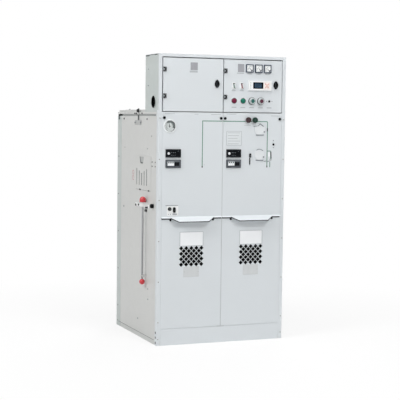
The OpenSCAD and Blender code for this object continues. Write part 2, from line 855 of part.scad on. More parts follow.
// Plate with round corners, lying in XY and standing along Z
module rounded_plate(size, corner, t) {
    linear_extrude(t) union() {
        square([size[0] - 2 * corner, size[1]], center = true);
        square([size[0], size[1] - 2 * corner], center = true);
        for (sx = [-1, 1], sy = [-1, 1])
            translate([sx * (size[0] / 2 - corner), sy * (size[1] / 2 - corner)])
                circle(r = corner);
    }
}

// Turning guards over the operating holes: a disc with a flat foot and the boss of its pivot
guard_t = 3;
guard_flat = 31;
breaker_guard_d = 72;
earth_guard_d = 66;
boss_d = 12;
boss_t = 6;
boss_rise = 18;
module drive_hole_covers() {
    color(pale) for (g = [[breaker_guard_d, breaker_drop], [earth_guard_d, earth_drop]])
        translate([panel_x0(1) + drive_x, front_y, panel_top - g[1]]) rotate([90, 0, 0]) {
            linear_extrude(guard_t) intersection() {
                circle(d = g[0], $fn = 96);
                translate([-g[0] / 2, -guard_flat]) square([g[0], g[0]]);
            }
            translate([g[0] / 2 - boss_d / 2, boss_rise - guard_flat, 0])
                cylinder(d = boss_d, h = boss_t);
        }
}

// Black locking pieces: the lever lock, and the round lock and hasp of the interlock
lever_lock_x = 184.5;
lever_lock_drop = 264.5;
lever_lock_h = 26;
lever_lock_w = 11;
round_lock_x = 52;
round_lock_rise = 48;
round_lock_d = 22;
hasp_x = 82;
hasp_rise = 42;
hasp_w = 16;
hasp_h = 34;
lock_out = 8;
module panel_locks() {
    color(black) {
        translate([panel_x0(1) + lever_lock_x, front_y, panel_top - lever_lock_drop])
            rotate([90, 0, 0])
                rounded_plate([lever_lock_w, lever_lock_h], lever_lock_w / 2 - slip, lock_out);
        face_rod(panel_x0(0) + round_lock_x, mech_z0 + round_lock_rise, round_lock_d,
                 front_y - lock_out, front_y);
        translate([panel_x0(0) + hasp_x, front_y, mech_z0 + hasp_rise])
            rotate([90, 0, 0]) rounded_plate([hasp_w, hasp_h], hasp_w / 2 - slip, lock_out);
    }
}

// Black caps over the panels' upper fixings
cap_inset = 12;
cap_drop = 35;
fixing_cap_d = 17;
fixing_cap_t = 5;
module panel_caps() {
    color(black) for (i = [0, 1], x = [cap_inset, panel_w - cap_inset])
        face_rod(panel_x0(i) + x, panel_top - cap_drop, fixing_cap_d,
                 front_y - fixing_cap_t, front_y);
}

// Lifting lugs: a strap with a round ear, on a broad foot against the side panel
strap_shift = 14;
ear_d = 26;
lug_y = front_y + lug_back;
lug_z0 = rim_z0 - lug_drop;
module lifting_lugs() {
    x = [-hw - lug_t, -hw];
    strap_y = lug_y - strap_shift;
    color(steel) both_sides() {
        block(x, [lug_y - lug_w / 2, lug_y + lug_w / 2], [lug_z0, lug_z0 + lug_h]);
        block(x, [strap_y - strap_w / 2, strap_y + strap_w / 2], [lug_z0, deck_z]);
        translate([x[0], strap_y, deck_z]) rotate([0, 90, 0]) cylinder(d = ear_d, h = lug_t);
    }
}

// Vent plate on the left side: upright slots, shortest in the middle, below a tapered hand hole
vent_plate_t = 2;
vent_plate_back = 266;
vent_plate_drop = 396.5;
vent_plate_z = body_h - vent_plate_drop;
slot_w = 12;
slot_low = 77;
slot_step = 14;
slot_rise = 31;
slot_field = 190;
slot_margin = 20;
hand_hole = [84, 48, 43];
hand_hole_drop = 6;
module side_vent_plate() {
    y = front_y + vent_plate_back;
    x = [-hw - vent_plate_t, -hw];
    z = [vent_plate_z - vent_plate_h / 2, vent_plate_z + vent_plate_h / 2];
    field_y = y + vent_plate_w / 2 - slot_margin - slot_field / 2;
    color(side_grey) difference() {
        block(x, [y - vent_plate_w / 2, y + vent_plate_w / 2], z);
        for (k = [0 : slot_count - 1]) {
            from_middle = k / (slot_count - 1) - 1 / 2;
            slot_h = slot_low + slot_step * abs(2 * k - slot_count + 1) / 2;
            translate([0, field_y + from_middle * slot_field, z[0] + slot_rise])
                block([x[0] - over, x[1] + over], [-slot_w / 2, slot_w / 2], [0, slot_h]);
        }
        translate([x[0] - over, field_y, z[1] - hand_hole_drop]) rotate([90, 0, 90])
            linear_extrude(vent_plate_t + 2 * over) polygon([
                [-hand_hole[0] / 2, 0], [hand_hole[0] / 2, 0],
                [hand_hole[1] / 2, -hand_hole[2]], [-hand_hole[1] / 2, -hand_hole[2]]
            ]);
    }
}

// Operating lever stored upright on the left side, below the vent plate
grip_depth = 14;
cap_grip_d = 40;
cap_grip_h = 34;
lever_x = -hw - lever_out;
lever_y = front_y + lever_back;
lever_top = vent_plate_z - vent_plate_h / 2 - lever_gap - cap_grip_h + grip_depth;
lever_z = lever_top - lever_len;
module operating_lever() {
    color(steel) translate([lever_x, lever_y, lever_z])
        cylinder(d = lever_d, h = lever_len);
}

// Domed cap grip with a flat foot
module cap_grip() {
    shoulder = cap_grip_h - cap_grip_d / 2;
    difference() {
        union() {
            translate([0, 0, -over]) cylinder(d = cap_grip_d, h = shoulder + over);
            translate([0, 0, shoulder]) sphere(d = cap_grip_d);
        }
        translate([0, 0, -cap_grip_d]) cylinder(d = 2 * cap_grip_d, h = cap_grip_d);
    }
}

// Ball grip below and cap grip above, each bored for the rod
module lever_grips() {
    color(red) translate([lever_x, lever_y, 0]) difference() {
        union() {
            translate([0, 0, lever_z + grip_depth - ball_d / 2]) sphere(d = ball_d);
            translate([0, 0, lever_top - grip_depth]) cap_grip();
        }
        translate([0, 0, lever_z]) cylinder(d = lever_d, h = lever_len);
    }
}

// Clips that hold the rod off the side panel: a broad one on a strip above, a slim one below
clip_wall = 4;
clip_rise = 34;
upper_clip = [26, 28];
lower_clip = [16, 10];
clip_strip = [260, 20, 3];
strip_shift = 80;
strip_drop = 12;
module lever_clip(size, z) {
    difference() {
        block([lever_x - lever_d / 2 - clip_wall, -hw],
              [lever_y - size[0] / 2, lever_y + size[0] / 2], [z - size[1] / 2, z + size[1] / 2]);
        translate([lever_x, lever_y, z - size[1]]) cylinder(d = lever_d, h = 2 * size[1]);
    }
}
module lever_clips() {
    z = lever_top - grip_depth - upper_clip[1] / 2 - over;
    strip_y = lever_y + strip_shift;
    color(pale) {
        lever_clip(upper_clip, z);
        block([-hw - clip_strip[2], -hw],
              [strip_y - clip_strip[0] / 2, strip_y + clip_strip[0] / 2],
              [z - strip_drop - clip_strip[1] / 2, z - strip_drop + clip_strip[1] / 2]);
        lever_clip(lower_clip, lever_z + clip_rise);
    }
}

// Cable gland beside the lever
gland_back = 75;
gland_z = 855;
gland_d = 26;
gland_out = 17;
gland_nut = 6;
module side_gland() {
    color(black) translate([-hw - gland_out, front_y + gland_back, gland_z]) rotate([0, 90, 0]) {
        cylinder(d = gland_d - gland_nut, h = gland_out);
        translate([0, 0, gland_out - gland_nut]) cylinder(d = gland_d, h = gland_nut, $fn = 6);
    }
}

base_frame();
front_left_post();
front_right_post();
rear_left_post();
rear_right_post();
front_centre_post();
front_rails();
left_side_panel();
right_side_panel();
rear_panel();
top_cover();
roof_lid();
left_mechanism_panel();
right_mechanism_panel();
left_cable_cover();
right_cable_cover();
dust_screens();
plinth_panel();
lv_left_side();
lv_right_side();
lv_top();
lv_back();
lv_floor();
lv_front_frame();
lv_mullion();
cable_grommet();
hinge_brackets();
pressure_gauge();
fault_indicators();
voltage_indicators();
close_push_button();
open_push_button();
drive_hole_covers();
panel_locks();
panel_caps();
lifting_lugs();
operating_lever();
lever_grips();
lever_clips();
side_vent_plate();
side_gland();
left_door();
left_door_leaves();
left_door_lock();
right_door();
right_door_leaves();
right_door_lock();
panel_meters();
protection_relay();
trip_links();
red_lamp();
green_lamp();
button_bezels();
green_door_button();
red_door_button();
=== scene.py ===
# %% [markdown]
# # A gas insulated breaker cabinet
#
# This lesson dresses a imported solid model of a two-unit switchgear cabinet: a welded and painted
# steel body with a low-voltage instrument box on its roof. The solids already have the right
# shape and size, so Blender adds what a drawing leaves out: paint, plastics, rivets, dials and
# light.

# %% Load the solid model and measure it
import math

import bpy
from mathutils import Matrix, Vector


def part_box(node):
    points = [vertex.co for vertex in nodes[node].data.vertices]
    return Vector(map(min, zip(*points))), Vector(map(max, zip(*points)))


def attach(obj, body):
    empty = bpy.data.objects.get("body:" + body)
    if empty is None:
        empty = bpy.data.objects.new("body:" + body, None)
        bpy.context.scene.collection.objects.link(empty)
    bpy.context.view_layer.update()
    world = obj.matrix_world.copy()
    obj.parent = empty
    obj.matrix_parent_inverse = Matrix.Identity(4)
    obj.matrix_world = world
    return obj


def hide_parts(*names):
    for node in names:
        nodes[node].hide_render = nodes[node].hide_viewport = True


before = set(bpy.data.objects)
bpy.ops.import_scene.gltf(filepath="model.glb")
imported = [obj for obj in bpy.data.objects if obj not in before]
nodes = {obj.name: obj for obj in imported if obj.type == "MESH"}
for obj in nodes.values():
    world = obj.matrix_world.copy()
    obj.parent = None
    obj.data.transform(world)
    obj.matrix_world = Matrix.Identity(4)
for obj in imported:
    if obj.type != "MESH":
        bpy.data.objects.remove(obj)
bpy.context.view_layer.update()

# %% [markdown]
# ## The camera
# A product photograph is taken from far away with a long lens, so that upright edges stay nearly
# parallel. The camera stands a little to the left, at chest height, and looks slightly down. Its
# matrix is built from three angles, because aiming with a constraint would lose the small roll.

# %% Camera
EYE = Vector((-2.783, -6.982, 1.388))
YAW, PITCH, ROLL = (math.radians(a) for a in (21.825, 3.988, 0.711))
FOCAL_MM, SENSOR_MM = 103.807, 36.0

forward = Vector((math.sin(YAW) * math.cos(PITCH), math.cos(YAW) * math.cos(PITCH),
                  -math.sin(PITCH)))
level = Vector((math.cos(YAW), -math.sin(YAW), 0.0))
upright = level.cross(forward)
right = math.cos(ROLL) * level + math.sin(ROLL) * upright
up = math.cos(ROLL) * upright - math.sin(ROLL) * level

lens = bpy.data.cameras.new("studio_camera")
lens.lens, lens.sensor_width = FOCAL_MM, SENSOR_MM
camera = bpy.data.objects.new("studio_camera", lens)
camera.matrix_world = Matrix((right, up, -forward)).transposed().to_4x4()
camera.matrix_world.translation = EYE
bpy.context.scene.collection.objects.link(camera)
bpy.context.scene.camera = camera
print("camera looks along", [round(c, 3) for c in forward])

# %% [markdown]
# ## The studio
# Pale painted steel shows its form only by soft changes of tone. Two large softboxes stand high
# in front and at the left, far enough away to light the cabinet evenly from top to foot, and
# throw the soft shadow that each hand tongue leaves on the cover below it. A small one overhead
# lifts the upward faces and one behind keeps the back readable. The room shines white to the
# camera and to reflections, and only faintly to everything else, so the background stays clean.

# %% Room light
def light_path_mask(tree):
    """1 for rays that look at the room directly, by reflection or through glass."""
    path = tree.nodes.new("ShaderNodeLightPath")
    seen = None
    for ray in ("Is Camera Ray", "Is Glossy Ray", "Is Transmission Ray"):
        if seen is None:
            seen = path.outputs[ray]
            continue
        more = tree.nodes.new("ShaderNodeMath")
        more.operation = "MAXIMUM"
        tree.links.new(seen, more.inputs[0])
        tree.links.new(path.outputs[ray], more.inputs[1])
        seen = more.outputs[0]
    return seen


ROOM_FILL = 0.16
WHITE = (1.0, 1.0, 1.0, 1.0)

room = bpy.data.worlds.new("studio_room")
room.use_nodes = True
tree = room.node_tree
glow = tree.nodes["Background"]
glow.inputs["Color"].default_value = WHITE
level_of = tree.nodes.new("ShaderNodeMapRange")
level_of.inputs["To Min"].default_value = ROOM_FILL
level_of.inputs["To Max"].default_value = 1.0
tree.links.new(light_path_mask(tree), level_of.inputs["Value"])
tree.links.new(level_of.outputs["Result"], glow.inputs["Strength"])
bpy.context.scene.world = room
bpy.context.scene.view_settings.view_transform = "Standard"
print("room fill:", ROOM_FILL, "view transform:", bpy.context.scene.view_settings.view_transform)

# %% [markdown]
# A softbox is a lamp behind a large white cloth. In Blender an area lamp of the same size gives
# the same soft edge of shadow. Each one is aimed by turning its own forward axis along the line
# from the lamp to the spot it lights.

# %% Softboxes
def softbox(name, at, aim, size, watts):
    """A round white area lamp that looks from one point to another."""
    lamp = bpy.data.lights.new(name, "AREA")
    lamp.shape, lamp.size, lamp.energy = "DISK", size, watts
    holder = bpy.data.objects.new(name, lamp)
    holder.location = at
    holder.rotation_euler = (Vector(aim) - Vector(at)).to_track_quat("-Z", "Y").to_euler()
    bpy.context.scene.collection.objects.link(holder)


softbox("front_softbox", (1.3, -6.6, 6.2), (0.0, -0.4, 1.0), 3.4, 294.0)
softbox("left_softbox", (-6.4, -2.4, 5.8), (-0.3, 0.0, 1.0), 3.6, 341.0)
softbox("overhead_softbox", (-0.2, -0.9, 4.8), (0.0, -0.2, 0.9), 2.4, 58.0)
softbox("rear_softbox", (2.6, 4.2, 3.4), (0.2, 0.2, 1.0), 2.6, 115.0)
print("softboxes hung:", len(bpy.data.lights))

# %% [markdown]
# The floor is a plain pale sheet. Part of its tone comes from its own glow to the camera, and
# part from the light that falls on it, so the cabinet still leaves a soft shadow where it stands.
# The glow takes over with distance, so the sheet runs into the white room without a horizon.

# %% Floor
FLOOR_HALF = 9.0
PAPER_TONE = (0.88, 0.88, 0.88, 1.0)

sheet = bpy.data.meshes.new("studio_floor")
sheet.from_pydata([(-FLOOR_HALF, -FLOOR_HALF, 0.0), (FLOOR_HALF, -FLOOR_HALF, 0.0),
                   (FLOOR_HALF, FLOOR_HALF, 0.0), (-FLOOR_HALF, FLOOR_HALF, 0.0)],
                  [], [(0, 1, 2, 3)])
floor = bpy.data.objects.new("studio_floor", sheet)
bpy.context.scene.collection.objects.link(floor)
paper = bpy.data.materials.new("studio_paper")
paper.use_nodes = True
tree = paper.node_tree
tree.nodes.remove(tree.nodes["Principled BSDF"])
matt = tree.nodes.new("ShaderNodeBsdfDiffuse")
matt.inputs["Color"].default_value = PAPER_TONE
bright = tree.nodes.new("ShaderNodeEmission")
bright.inputs["Color"].default_value = WHITE
spot_on_floor = tree.nodes.new("ShaderNodeTexCoord")
away = tree.nodes.new("ShaderNodeVectorMath")
away.operation = "LENGTH"
tree.links.new(spot_on_floor.outputs["Object"], away.inputs[0])
fade = tree.nodes.new("ShaderNodeMapRange")
for socket, value in (("From Min", 0.9), ("From Max", 2.6), ("To Min", 0.82), ("To Max", 1.0)):
    fade.inputs[socket].default_value = value
tree.links.new(away.outputs["Value"], fade.inputs["Value"])
share = tree.nodes.new("ShaderNodeMath")
share.operation = "MULTIPLY"
tree.links.new(light_path_mask(tree), share.inputs[0])
tree.links.new(fade.outputs["Result"], share.inputs[1])
blend = tree.nodes.new("ShaderNodeMixShader")
tree.links.new(share.outputs[0], blend.inputs["Fac"])
tree.links.new(matt.outputs[0], blend.inputs[1])
tree.links.new(bright.outputs[0], blend.inputs[2])
tree.links.new(blend.outputs[0], tree.nodes["Material Output"].inputs["Surface"])
sheet.materials.append(paper)
print("floor laid:", 2 * FLOOR_HALF, "m square")

# %% [markdown]
# ## Finishes
# Every finish here follows the same recipe with other numbers. A cloudy noise shifts the colour a
# little over hand-wide patches, a second one varies the gloss, and a fine grain lifts the
# surface: orange peel on paint, moulding texture on plastic, brush marks on metal. All noise is
# measured in metres on the object itself, so the grain keeps its real size on every piece.

# %% Recipe for a finish
GRAIN_HEIGHT = 0.0004
GLOSS_SPREAD = 0.15
COAT_GLOSS = 0.08


def tone(code):
    """A colour from its six-digit screen code, as linear light."""
    channels = [int(code[k:k + 2], 16) / 255.0 for k in (1, 3, 5)]
    return [c / 12.92 if c <= 0.04045 else ((c + 0.055) / 1.055) ** 2.4 for c in channels]


def noise(tree, where, scale, detail):
    """A cloudy noise, with its scale in waves per metre."""
    cloud = tree.nodes.new("ShaderNodeTexNoise")
    cloud.inputs["Scale"].default_value = scale
    cloud.inputs["Detail"].default_value = detail
    tree.links.new(where, cloud.inputs["Vector"])
    return cloud.outputs["Fac"]


def finish(name, code, gloss, patches=(4.0, 0.03), grain=(900.0, 0.05), stretch=(1, 1, 1),
           metal=0.0, coat=0.0, alpha=1.0, shine_level=0.5):
    """A finish with uneven colour, uneven gloss and a fine raised grain."""
    made = bpy.data.materials.new(name)
    made.use_nodes = True
    tree = made.node_tree
    skin = tree.nodes["Principled BSDF"]
    skin.inputs["Metallic"].default_value = metal
    skin.inputs["Coat Weight"].default_value = coat
    skin.inputs["Coat Roughness"].default_value = COAT_GLOSS
    skin.inputs["Alpha"].default_value = alpha
    skin.inputs["Specular IOR Level"].default_value = shine_level
    place = tree.nodes.new("ShaderNodeTexCoord")
    sized = tree.nodes.new("ShaderNodeMapping")
    sized.inputs["Scale"].default_value = stretch
    tree.links.new(place.outputs["Object"], sized.inputs["Vector"])
    where = sized.outputs["Vector"]

    mixed = tree.nodes.new("ShaderNodeMix")
    mixed.data_type = "RGBA"
    base = tone(code)
    mixed.inputs["A"].default_value = [c * (1.0 - patches[1]) for c in base] + [1.0]
    mixed.inputs["B"].default_value = [min(1.0, c * (1.0 + patches[1])) for c in base] + [1.0]
    tree.links.new(noise(tree, where, patches[0], 4.0), mixed.inputs["Factor"])
    tree.links.new(mixed.outputs["Result"], skin.inputs["Base Color"])

    shine = tree.nodes.new("ShaderNodeMapRange")
    shine.inputs["From Min"].default_value, shine.inputs["From Max"].default_value = 0.3, 0.7
    shine.inputs["To Min"].default_value = gloss * (1.0 - GLOSS_SPREAD)
    shine.inputs["To Max"].default_value = min(1.0, gloss * (1.0 + GLOSS_SPREAD))
    tree.links.new(noise(tree, where, patches[0] * 9.0, 3.0), shine.inputs["Value"])
    tree.links.new(shine.outputs["Result"], skin.inputs["Roughness"])

    raised = tree.nodes.new("ShaderNodeBump")
    raised.inputs["Strength"].default_value = grain[1]
    raised.inputs["Distance"].default_value = GRAIN_HEIGHT
    tree.links.new(noise(tree, where, grain[0], 2.0), raised.inputs["Height"])
    tree.links.new(raised.outputs["Normal"], skin.inputs["Normal"])
    return made


print("mid grey as linear light:", [round(c, 3) for c in tone("#808080")])

# %% [markdown]
# The front is powder coated in a cooler grey than the sides. The rear posts are painted a darker,
# greener grey, which is painted shade for the rear corners where they stand; the sides and back
# of the instrument box share that finish. Plastics are nearly black with little shine, because
# mould texture scatters what they reflect. The metals differ in how much bare metal shows: bright
# steel is all metal, zinc plate only partly.

# %% Paints, plastics and metals of this cabinet
front_paint = finish("front_powder_coat", "#d6dbde", 0.42, (3.0, 0.012), (650.0, 0.12))
side_paint = finish("side_powder_coat", "#cfd0ce", 0.48, (3.0, 0.015), (650.0, 0.14))
# painted shade: a darker, greener grey for the rear posts, which stand in shade at the corners
post_shade_paint = finish("rear_post_shade_coat", "#c1c8c6", 0.48, (3.0, 0.02), (650.0, 0.14))
inner_paint = finish("inside_primer", "#b4b7b8", 0.6, (5.0, 0.03), (500.0, 0.1))
black_plastic = finish("black_moulding", "#0f1113", 0.55, (30.0, 0.12), (2600.0, 0.12),
                       shine_level=0.05)
blue_black = finish("meter_bezel_plastic", "#2c384b", 0.48, (30.0, 0.1), (2600.0, 0.1),
                    shine_level=0.25)
grey_plastic = finish("indicator_grey", "#3f444a", 0.5, (30.0, 0.08), (2600.0, 0.14),
                      shine_level=0.3)
pale_plastic = finish("pale_moulding", "#f1f2f2", 0.4, (30.0, 0.02), (2600.0, 0.1))
clip_paint = finish("lever_clip_coat", "#f1f2f2", 0.42, (30.0, 0.03), (2600.0, 0.1))
grey_rubber = finish("grey_rubber", "#b9c0bd", 0.65, (60.0, 0.06), (1500.0, 0.2), shine_level=0.3)
black_rubber = finish("black_rubber", "#131416", 0.75, (60.0, 0.2), (1500.0, 0.3), shine_level=0.2)
black_zinc = finish("black_zinc_plate", "#1f2123", 0.5, (45.0, 0.25), (1800.0, 0.15),
                    shine_level=0.3)
gauge_white = finish("gauge_case_enamel", "#e0e4e5", 0.3, (20.0, 0.02), (900.0, 0.05), coat=0.3)
bright_steel = finish("bright_steel", "#d3d6d8", 0.26, (40.0, 0.08), (300.0, 0.1),
                      (1, 1, 0.05), metal=1.0)
satin_chrome = finish("satin_chrome", "#ccd2d3", 0.34, (40.0, 0.04), (300.0, 0.06), metal=0.35)
zinc_steel = finish("zinc_plated_steel", "#8f9497", 0.42, (60.0, 0.18), (700.0, 0.12), metal=0.8)
lever_steel = finish("galvanised_tube", "#9fa1a3", 0.45, (35.0, 0.14), (500.0, 0.1), metal=0.5)
lug_zinc = finish("lug_zinc_plate", "#b3b5b4", 0.45, (60.0, 0.14), (700.0, 0.12), metal=0.4)
base_zinc = finish("base_galvanising", "#cbcdcb", 0.5, (22.0, 0.08), (700.0, 0.1), metal=0.3)
# painted shade: the foam's mid grey stands for the shade inside the gap under the roof rim
gap_shade_foam = finish("rim_gap_shade_foam", "#a3a6a5", 0.85, (50.0, 0.1), (1200.0, 0.3), shine_level=0.1)
slot_shade = finish("slot_shade_grey", "#666b6c", 0.85, (50.0, 0.1), (1200.0, 0.3), shine_level=0.1)
guard_clear = finish("guard_plastic", "#dee2e4", 0.32, (30.0, 0.015), (1600.0, 0.05))
grip_red = finish("lever_grip_red", "#cb333c", 0.33, (25.0, 0.05), (1600.0, 0.08), coat=0.3)
lamp_red = finish("lamp_lens_red", "#6c0f34", 0.35, (60.0, 0.12), (420.0, 0.3), coat=0.1,
                  shine_level=0.2)
lamp_green = finish("lamp_lens_green", "#0c6f59", 0.35, (60.0, 0.12), (420.0, 0.3), coat=0.1,
                    shine_level=0.2)
cap_green = finish("button_cap_green", "#2b6058", 0.45, (40.0, 0.06), (1800.0, 0.1),
                   shine_level=0.3)
cap_red = finish("button_cap_red", "#562a3c", 0.45, (40.0, 0.06), (1800.0, 0.1),
                 shine_level=0.3)
close_brown = finish("close_button_brown", "#3a2528", 0.5, (40.0, 0.08), (1800.0, 0.12),
                     shine_level=0.25)
open_green = finish("open_button_green", "#16352b", 0.5, (40.0, 0.08), (1800.0, 0.12),
                    shine_level=0.25)
print("finishes mixed:", len(bpy.data.materials) - 1)

# %% [markdown]
# The dust screens behind the vents are woven black wire. A weave is two sets of thin bars that
# pass over each other, and at this size a pair of wave textures at right angles gives the same
# look as real wires for a fraction of the work.

# %% Woven screen
WIRE_PITCH, WIRE_HEIGHT, WIRE_STRENGTH = 0.0025, 0.0006, 0.8


def woven_screen(name, code, pitch):
    """A black finish with raised wires that cross at a pitch in metres."""
    made = finish(name, code, 0.7, (40.0, 0.2), (1500.0, 0.1), shine_level=0.1)
    tree = made.node_tree
    skin = tree.nodes["Principled BSDF"]
    place = tree.nodes.new("ShaderNodeTexCoord")
    height = None
    for direction in ("X", "Z"):
        wires = tree.nodes.new("ShaderNodeTexWave")
        wires.bands_direction = direction
        wires.inputs["Scale"].default_value = math.pi / (10.0 * pitch)
        tree.links.new(place.outputs["Object"], wires.inputs["Vector"])
        if height is None:
            height = wires.outputs["Fac"]
            continue
        crossed = tree.nodes.new("ShaderNodeMath")
        crossed.operation = "MAXIMUM"
        tree.links.new(height, crossed.inputs[0])
        tree.links.new(wires.outputs["Fac"], crossed.inputs[1])
        height = crossed.outputs[0]
    raised = tree.nodes.new("ShaderNodeBump")
    raised.inputs["Strength"].default_value = WIRE_STRENGTH
    raised.inputs["Distance"].default_value = WIRE_HEIGHT
    tree.links.new(height, raised.inputs["Height"])
    tree.links.new(raised.outputs["Normal"], skin.inputs["Normal"])
    return made


dark_screen = woven_screen("woven_black_screen", "#060607", WIRE_PITCH)
print("screen wire pitch:", WIRE_PITCH * 1000, "mm")

# %% [markdown]
# ## Dressing the solids
# The solid model's sheets have knife-sharp edges, and real folded steel never does. A Weld joins
# the loose corners that the file format splits, and a Bevel rounds each hard edge by half a
# millimetre or so, which is enough to catch a thin line of light. The solids themselves are left
# untouched, because both are modifiers.

# %% Give each solid its finish and its broken edges
WELD_REACH, HARD_EDGE = 0.00002, math.radians(40)


def dress(names, material, edge):
    """Set the finish of some solids and round their hard edges by a width in metres."""
    for name in names:
        part = nodes[name]
        part.data.materials.clear()
        part.data.materials.append(material)
        weld = part.modifiers.new("join_corners", "WELD")
        weld.merge_threshold = WELD_REACH
        soft = part.modifiers.new("break_edges", "BEVEL")
        soft.width, soft.segments = edge, 2
        soft.limit_method, soft.angle_limit = "ANGLE", HARD_EDGE
        soft.loop_slide = False


dress(["front_left_post", "front_right_post", "left_mechanism_panel", "right_mechanism_panel",
       "left_cable_cover", "right_cable_cover", "plinth_panel", "lv_front_frame", "lv_top",
       "left_door", "right_door"], front_paint, 0.0007)
dress(["rear_left_post", "rear_right_post", "lv_left_side", "lv_right_side", "lv_back"],
      post_shade_paint, 0.0007)
dress(["left_side_panel", "right_side_panel", "rear_panel", "top_cover", "roof_lid",
       "side_vent_plate"], side_paint, 0.0007)
dress(["front_centre_post", "front_rails", "lv_floor", "lv_mullion"], inner_paint, 0.0005)
dress(["dust_screens"], dark_screen, 0.0002)
dress(["lifting_lugs"], lug_zinc, 0.0006)
dress(["base_frame"], base_zinc, 0.0006)
dress(["cable_grommet"], grey_rubber, 0.0008)
dress(["side_gland"], black_plastic, 0.0025)
dress(["hinge_brackets"], zinc_steel, 0.0004)
dress(["left_door_leaves", "right_door_leaves"], black_zinc, 0.0004)
dress(["left_door_lock", "right_door_lock", "panel_locks", "panel_caps", "fault_indicators"],
      black_plastic, 0.0008)
dress(["panel_meters"], blue_black, 0.0008)
dress(["voltage_indicators"], grey_plastic, 0.0008)
dress(["protection_relay", "trip_links"], pale_plastic, 0.0008)
dress(["drive_hole_covers"], guard_clear, 0.0008)
dress(["pressure_gauge"], gauge_white, 0.0004)
dress(["button_bezels"], satin_chrome, 0.0006)
dress(["operating_lever"], lever_steel, 0.0006)
dress(["lever_grips"], grip_red, 0.0008)
dress(["red_lamp"], lamp_red, 0.0004)
dress(["green_lamp"], lamp_green, 0.0004)
dress(["green_door_button"], cap_green, 0.0008)
dress(["red_door_button"], cap_red, 0.0008)
dress(["close_push_button"], close_brown, 0.001)
dress(["open_push_button"], open_green, 0.001)
print("solids dressed:", sum(1 for part in nodes.values() if part.modifiers))

# %% [markdown]
# The two clips of the lever are one solid in the model, but on the cabinet the upper one is white
# and the lower one is painted with the side. A height read from the object's own coordinates
# chooses between two colours, so the solid needs no cut.

# %% Two tones on the lever clips
CLIP_SPLIT_Z = 0.7


def shade_below(material, height, code):
    """Give a finish another colour below a height, for a node that holds parts of two colours."""
    tree = material.node_tree
    base = tree.nodes["Principled BSDF"].inputs["Base Color"]
    above = base.links[0].from_socket
    place = tree.nodes.new("ShaderNodeTexCoord")
    split = tree.nodes.new("ShaderNodeSeparateXYZ")
    tree.links.new(place.outputs["Object"], split.inputs["Vector"])
    over = tree.nodes.new("ShaderNodeMath")
    over.operation = "GREATER_THAN"
    over.inputs[1].default_value = height
    tree.links.new(split.outputs["Z"], over.inputs[0])
    both = tree.nodes.new("ShaderNodeMix")
    both.data_type = "RGBA"
    both.inputs["A"].default_value = [*tone(code), 1.0]
    tree.links.new(over.outputs["Value"], both.inputs["Factor"])
    tree.links.new(above, both.inputs["B"])
    tree.links.new(both.outputs["Result"], base)


shade_below(clip_paint, CLIP_SPLIT_Z, "#c8c9c7")
dress(["lever_clips"], clip_paint, 0.0008)
print("undressed solids:", [n for n, part in nodes.items() if not part.modifiers])

# %% [markdown]
# ## Making small pieces
# Rivets, dials, plates and marks all sit on one of the cabinet's faces. Each is drawn on its face
# in millimetres: across, up, and out from the sheet. A face is only a matrix that turns those
# three numbers into a place in the model, so the same rivet can be set on any side.

# %% Faces of the cabinet
MM = 0.001


def face(across, upward, outward, origin):
    """Matrix from millimetres on a face to metres in the model."""
    turn = Matrix((across, upward, outward)).transposed().to_4x4()
    return Matrix.Translation(origin) @ turn @ Matrix.Scale(MM, 4)


FRONT_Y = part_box("left_cable_cover")[0].y
LEFT_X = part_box("left_side_panel")[0].x
RIGHT_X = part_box("right_side_panel")[1].x
REAR_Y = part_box("rear_panel")[1].y
DECK_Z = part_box("top_cover")[1].z
FRONT = face((1, 0, 0), (0, 0, 1), (0, -1, 0), (0, FRONT_Y, 0))
LEFT = face((0, -1, 0), (0, 0, 1), (-1, 0, 0), (LEFT_X, FRONT_Y, 0))
RIGHT = face((0, 1, 0), (0, 0, 1), (1, 0, 0), (RIGHT_X, FRONT_Y, 0))
REAR = face((-1, 0, 0), (0, 0, 1), (0, 1, 0), (0, REAR_Y, 0))
ROOF = face((1, 0, 0), (0, 1, 0), (0, 0, 1), (0, 0, DECK_Z))
print("front face at y =", round(FRONT_Y, 4), "roof at z =", round(DECK_Z, 4))

# %% [markdown]
# A piece is a list of points and a list of skins between them. Three ways of working cover
# everything here: a plate cut to an outline with a broken rim, a part turned on a lathe, and a
# flat frame. Writing the points directly is quicker than calling operators, and it never depends
# on what happens to be selected. First come the outlines.

# %% Outlines
def rounded(w, h, corner=0.0, steps=4):
    """Counter-clockwise outline of a plate with round corners."""
    if corner <= 0.0:
        return [(w / 2, h / 2), (-w / 2, h / 2), (-w / 2, -h / 2), (w / 2, -h / 2)]
    points = []
    for sx, sy, start in ((1, 1, 0), (-1, 1, 90), (-1, -1, 180), (1, -1, 270)):
        for k in range(steps + 1):
            a = math.radians(start + 90.0 * k / steps)
            points.append((sx * (w / 2 - corner) + corner * math.cos(a),
                           sy * (h / 2 - corner) + corner * math.sin(a)))
    return points


def disc(r, sides=32):
    """Counter-clockwise outline of a round plate."""
    turns = [2 * math.pi * k / sides for k in range(sides)]
    return [(r * math.cos(a), r * math.sin(a)) for a in turns]


def band(r0, r1, a0, a1, steps=16):
    """Outline of a piece of a ring, from one angle to another in degrees."""
    turns = [math.radians(a0 + (a1 - a0) * k / steps) for k in range(steps + 1)]
    outer = [(r1 * math.cos(a), r1 * math.sin(a)) for a in turns]
    return outer + [(r0 * math.cos(a), r0 * math.sin(a)) for a in reversed(turns)]


def inset(points, d):
    """The outline moved inwards by d, each corner along its mitre."""
    moved = []
    for k, p in enumerate(points):
        before, after = Vector(points[k - 1]), Vector(points[(k + 1) % len(points)])
        e0, e1 = (Vector(p) - before).normalized(), (after - Vector(p)).normalized()
        n0, n1 = Vector((-e0.y, e0.x)), Vector((-e1.y, e1.x))
        mitre = (n0 + n1) / max(0.2, 1.0 + n0.dot(n1))
        moved.append((p[0] + d * mitre.x, p[1] + d * mitre.y))
    return moved


print("points round a plate with round corners:", len(rounded(40.0, 20.0, 2.0)))

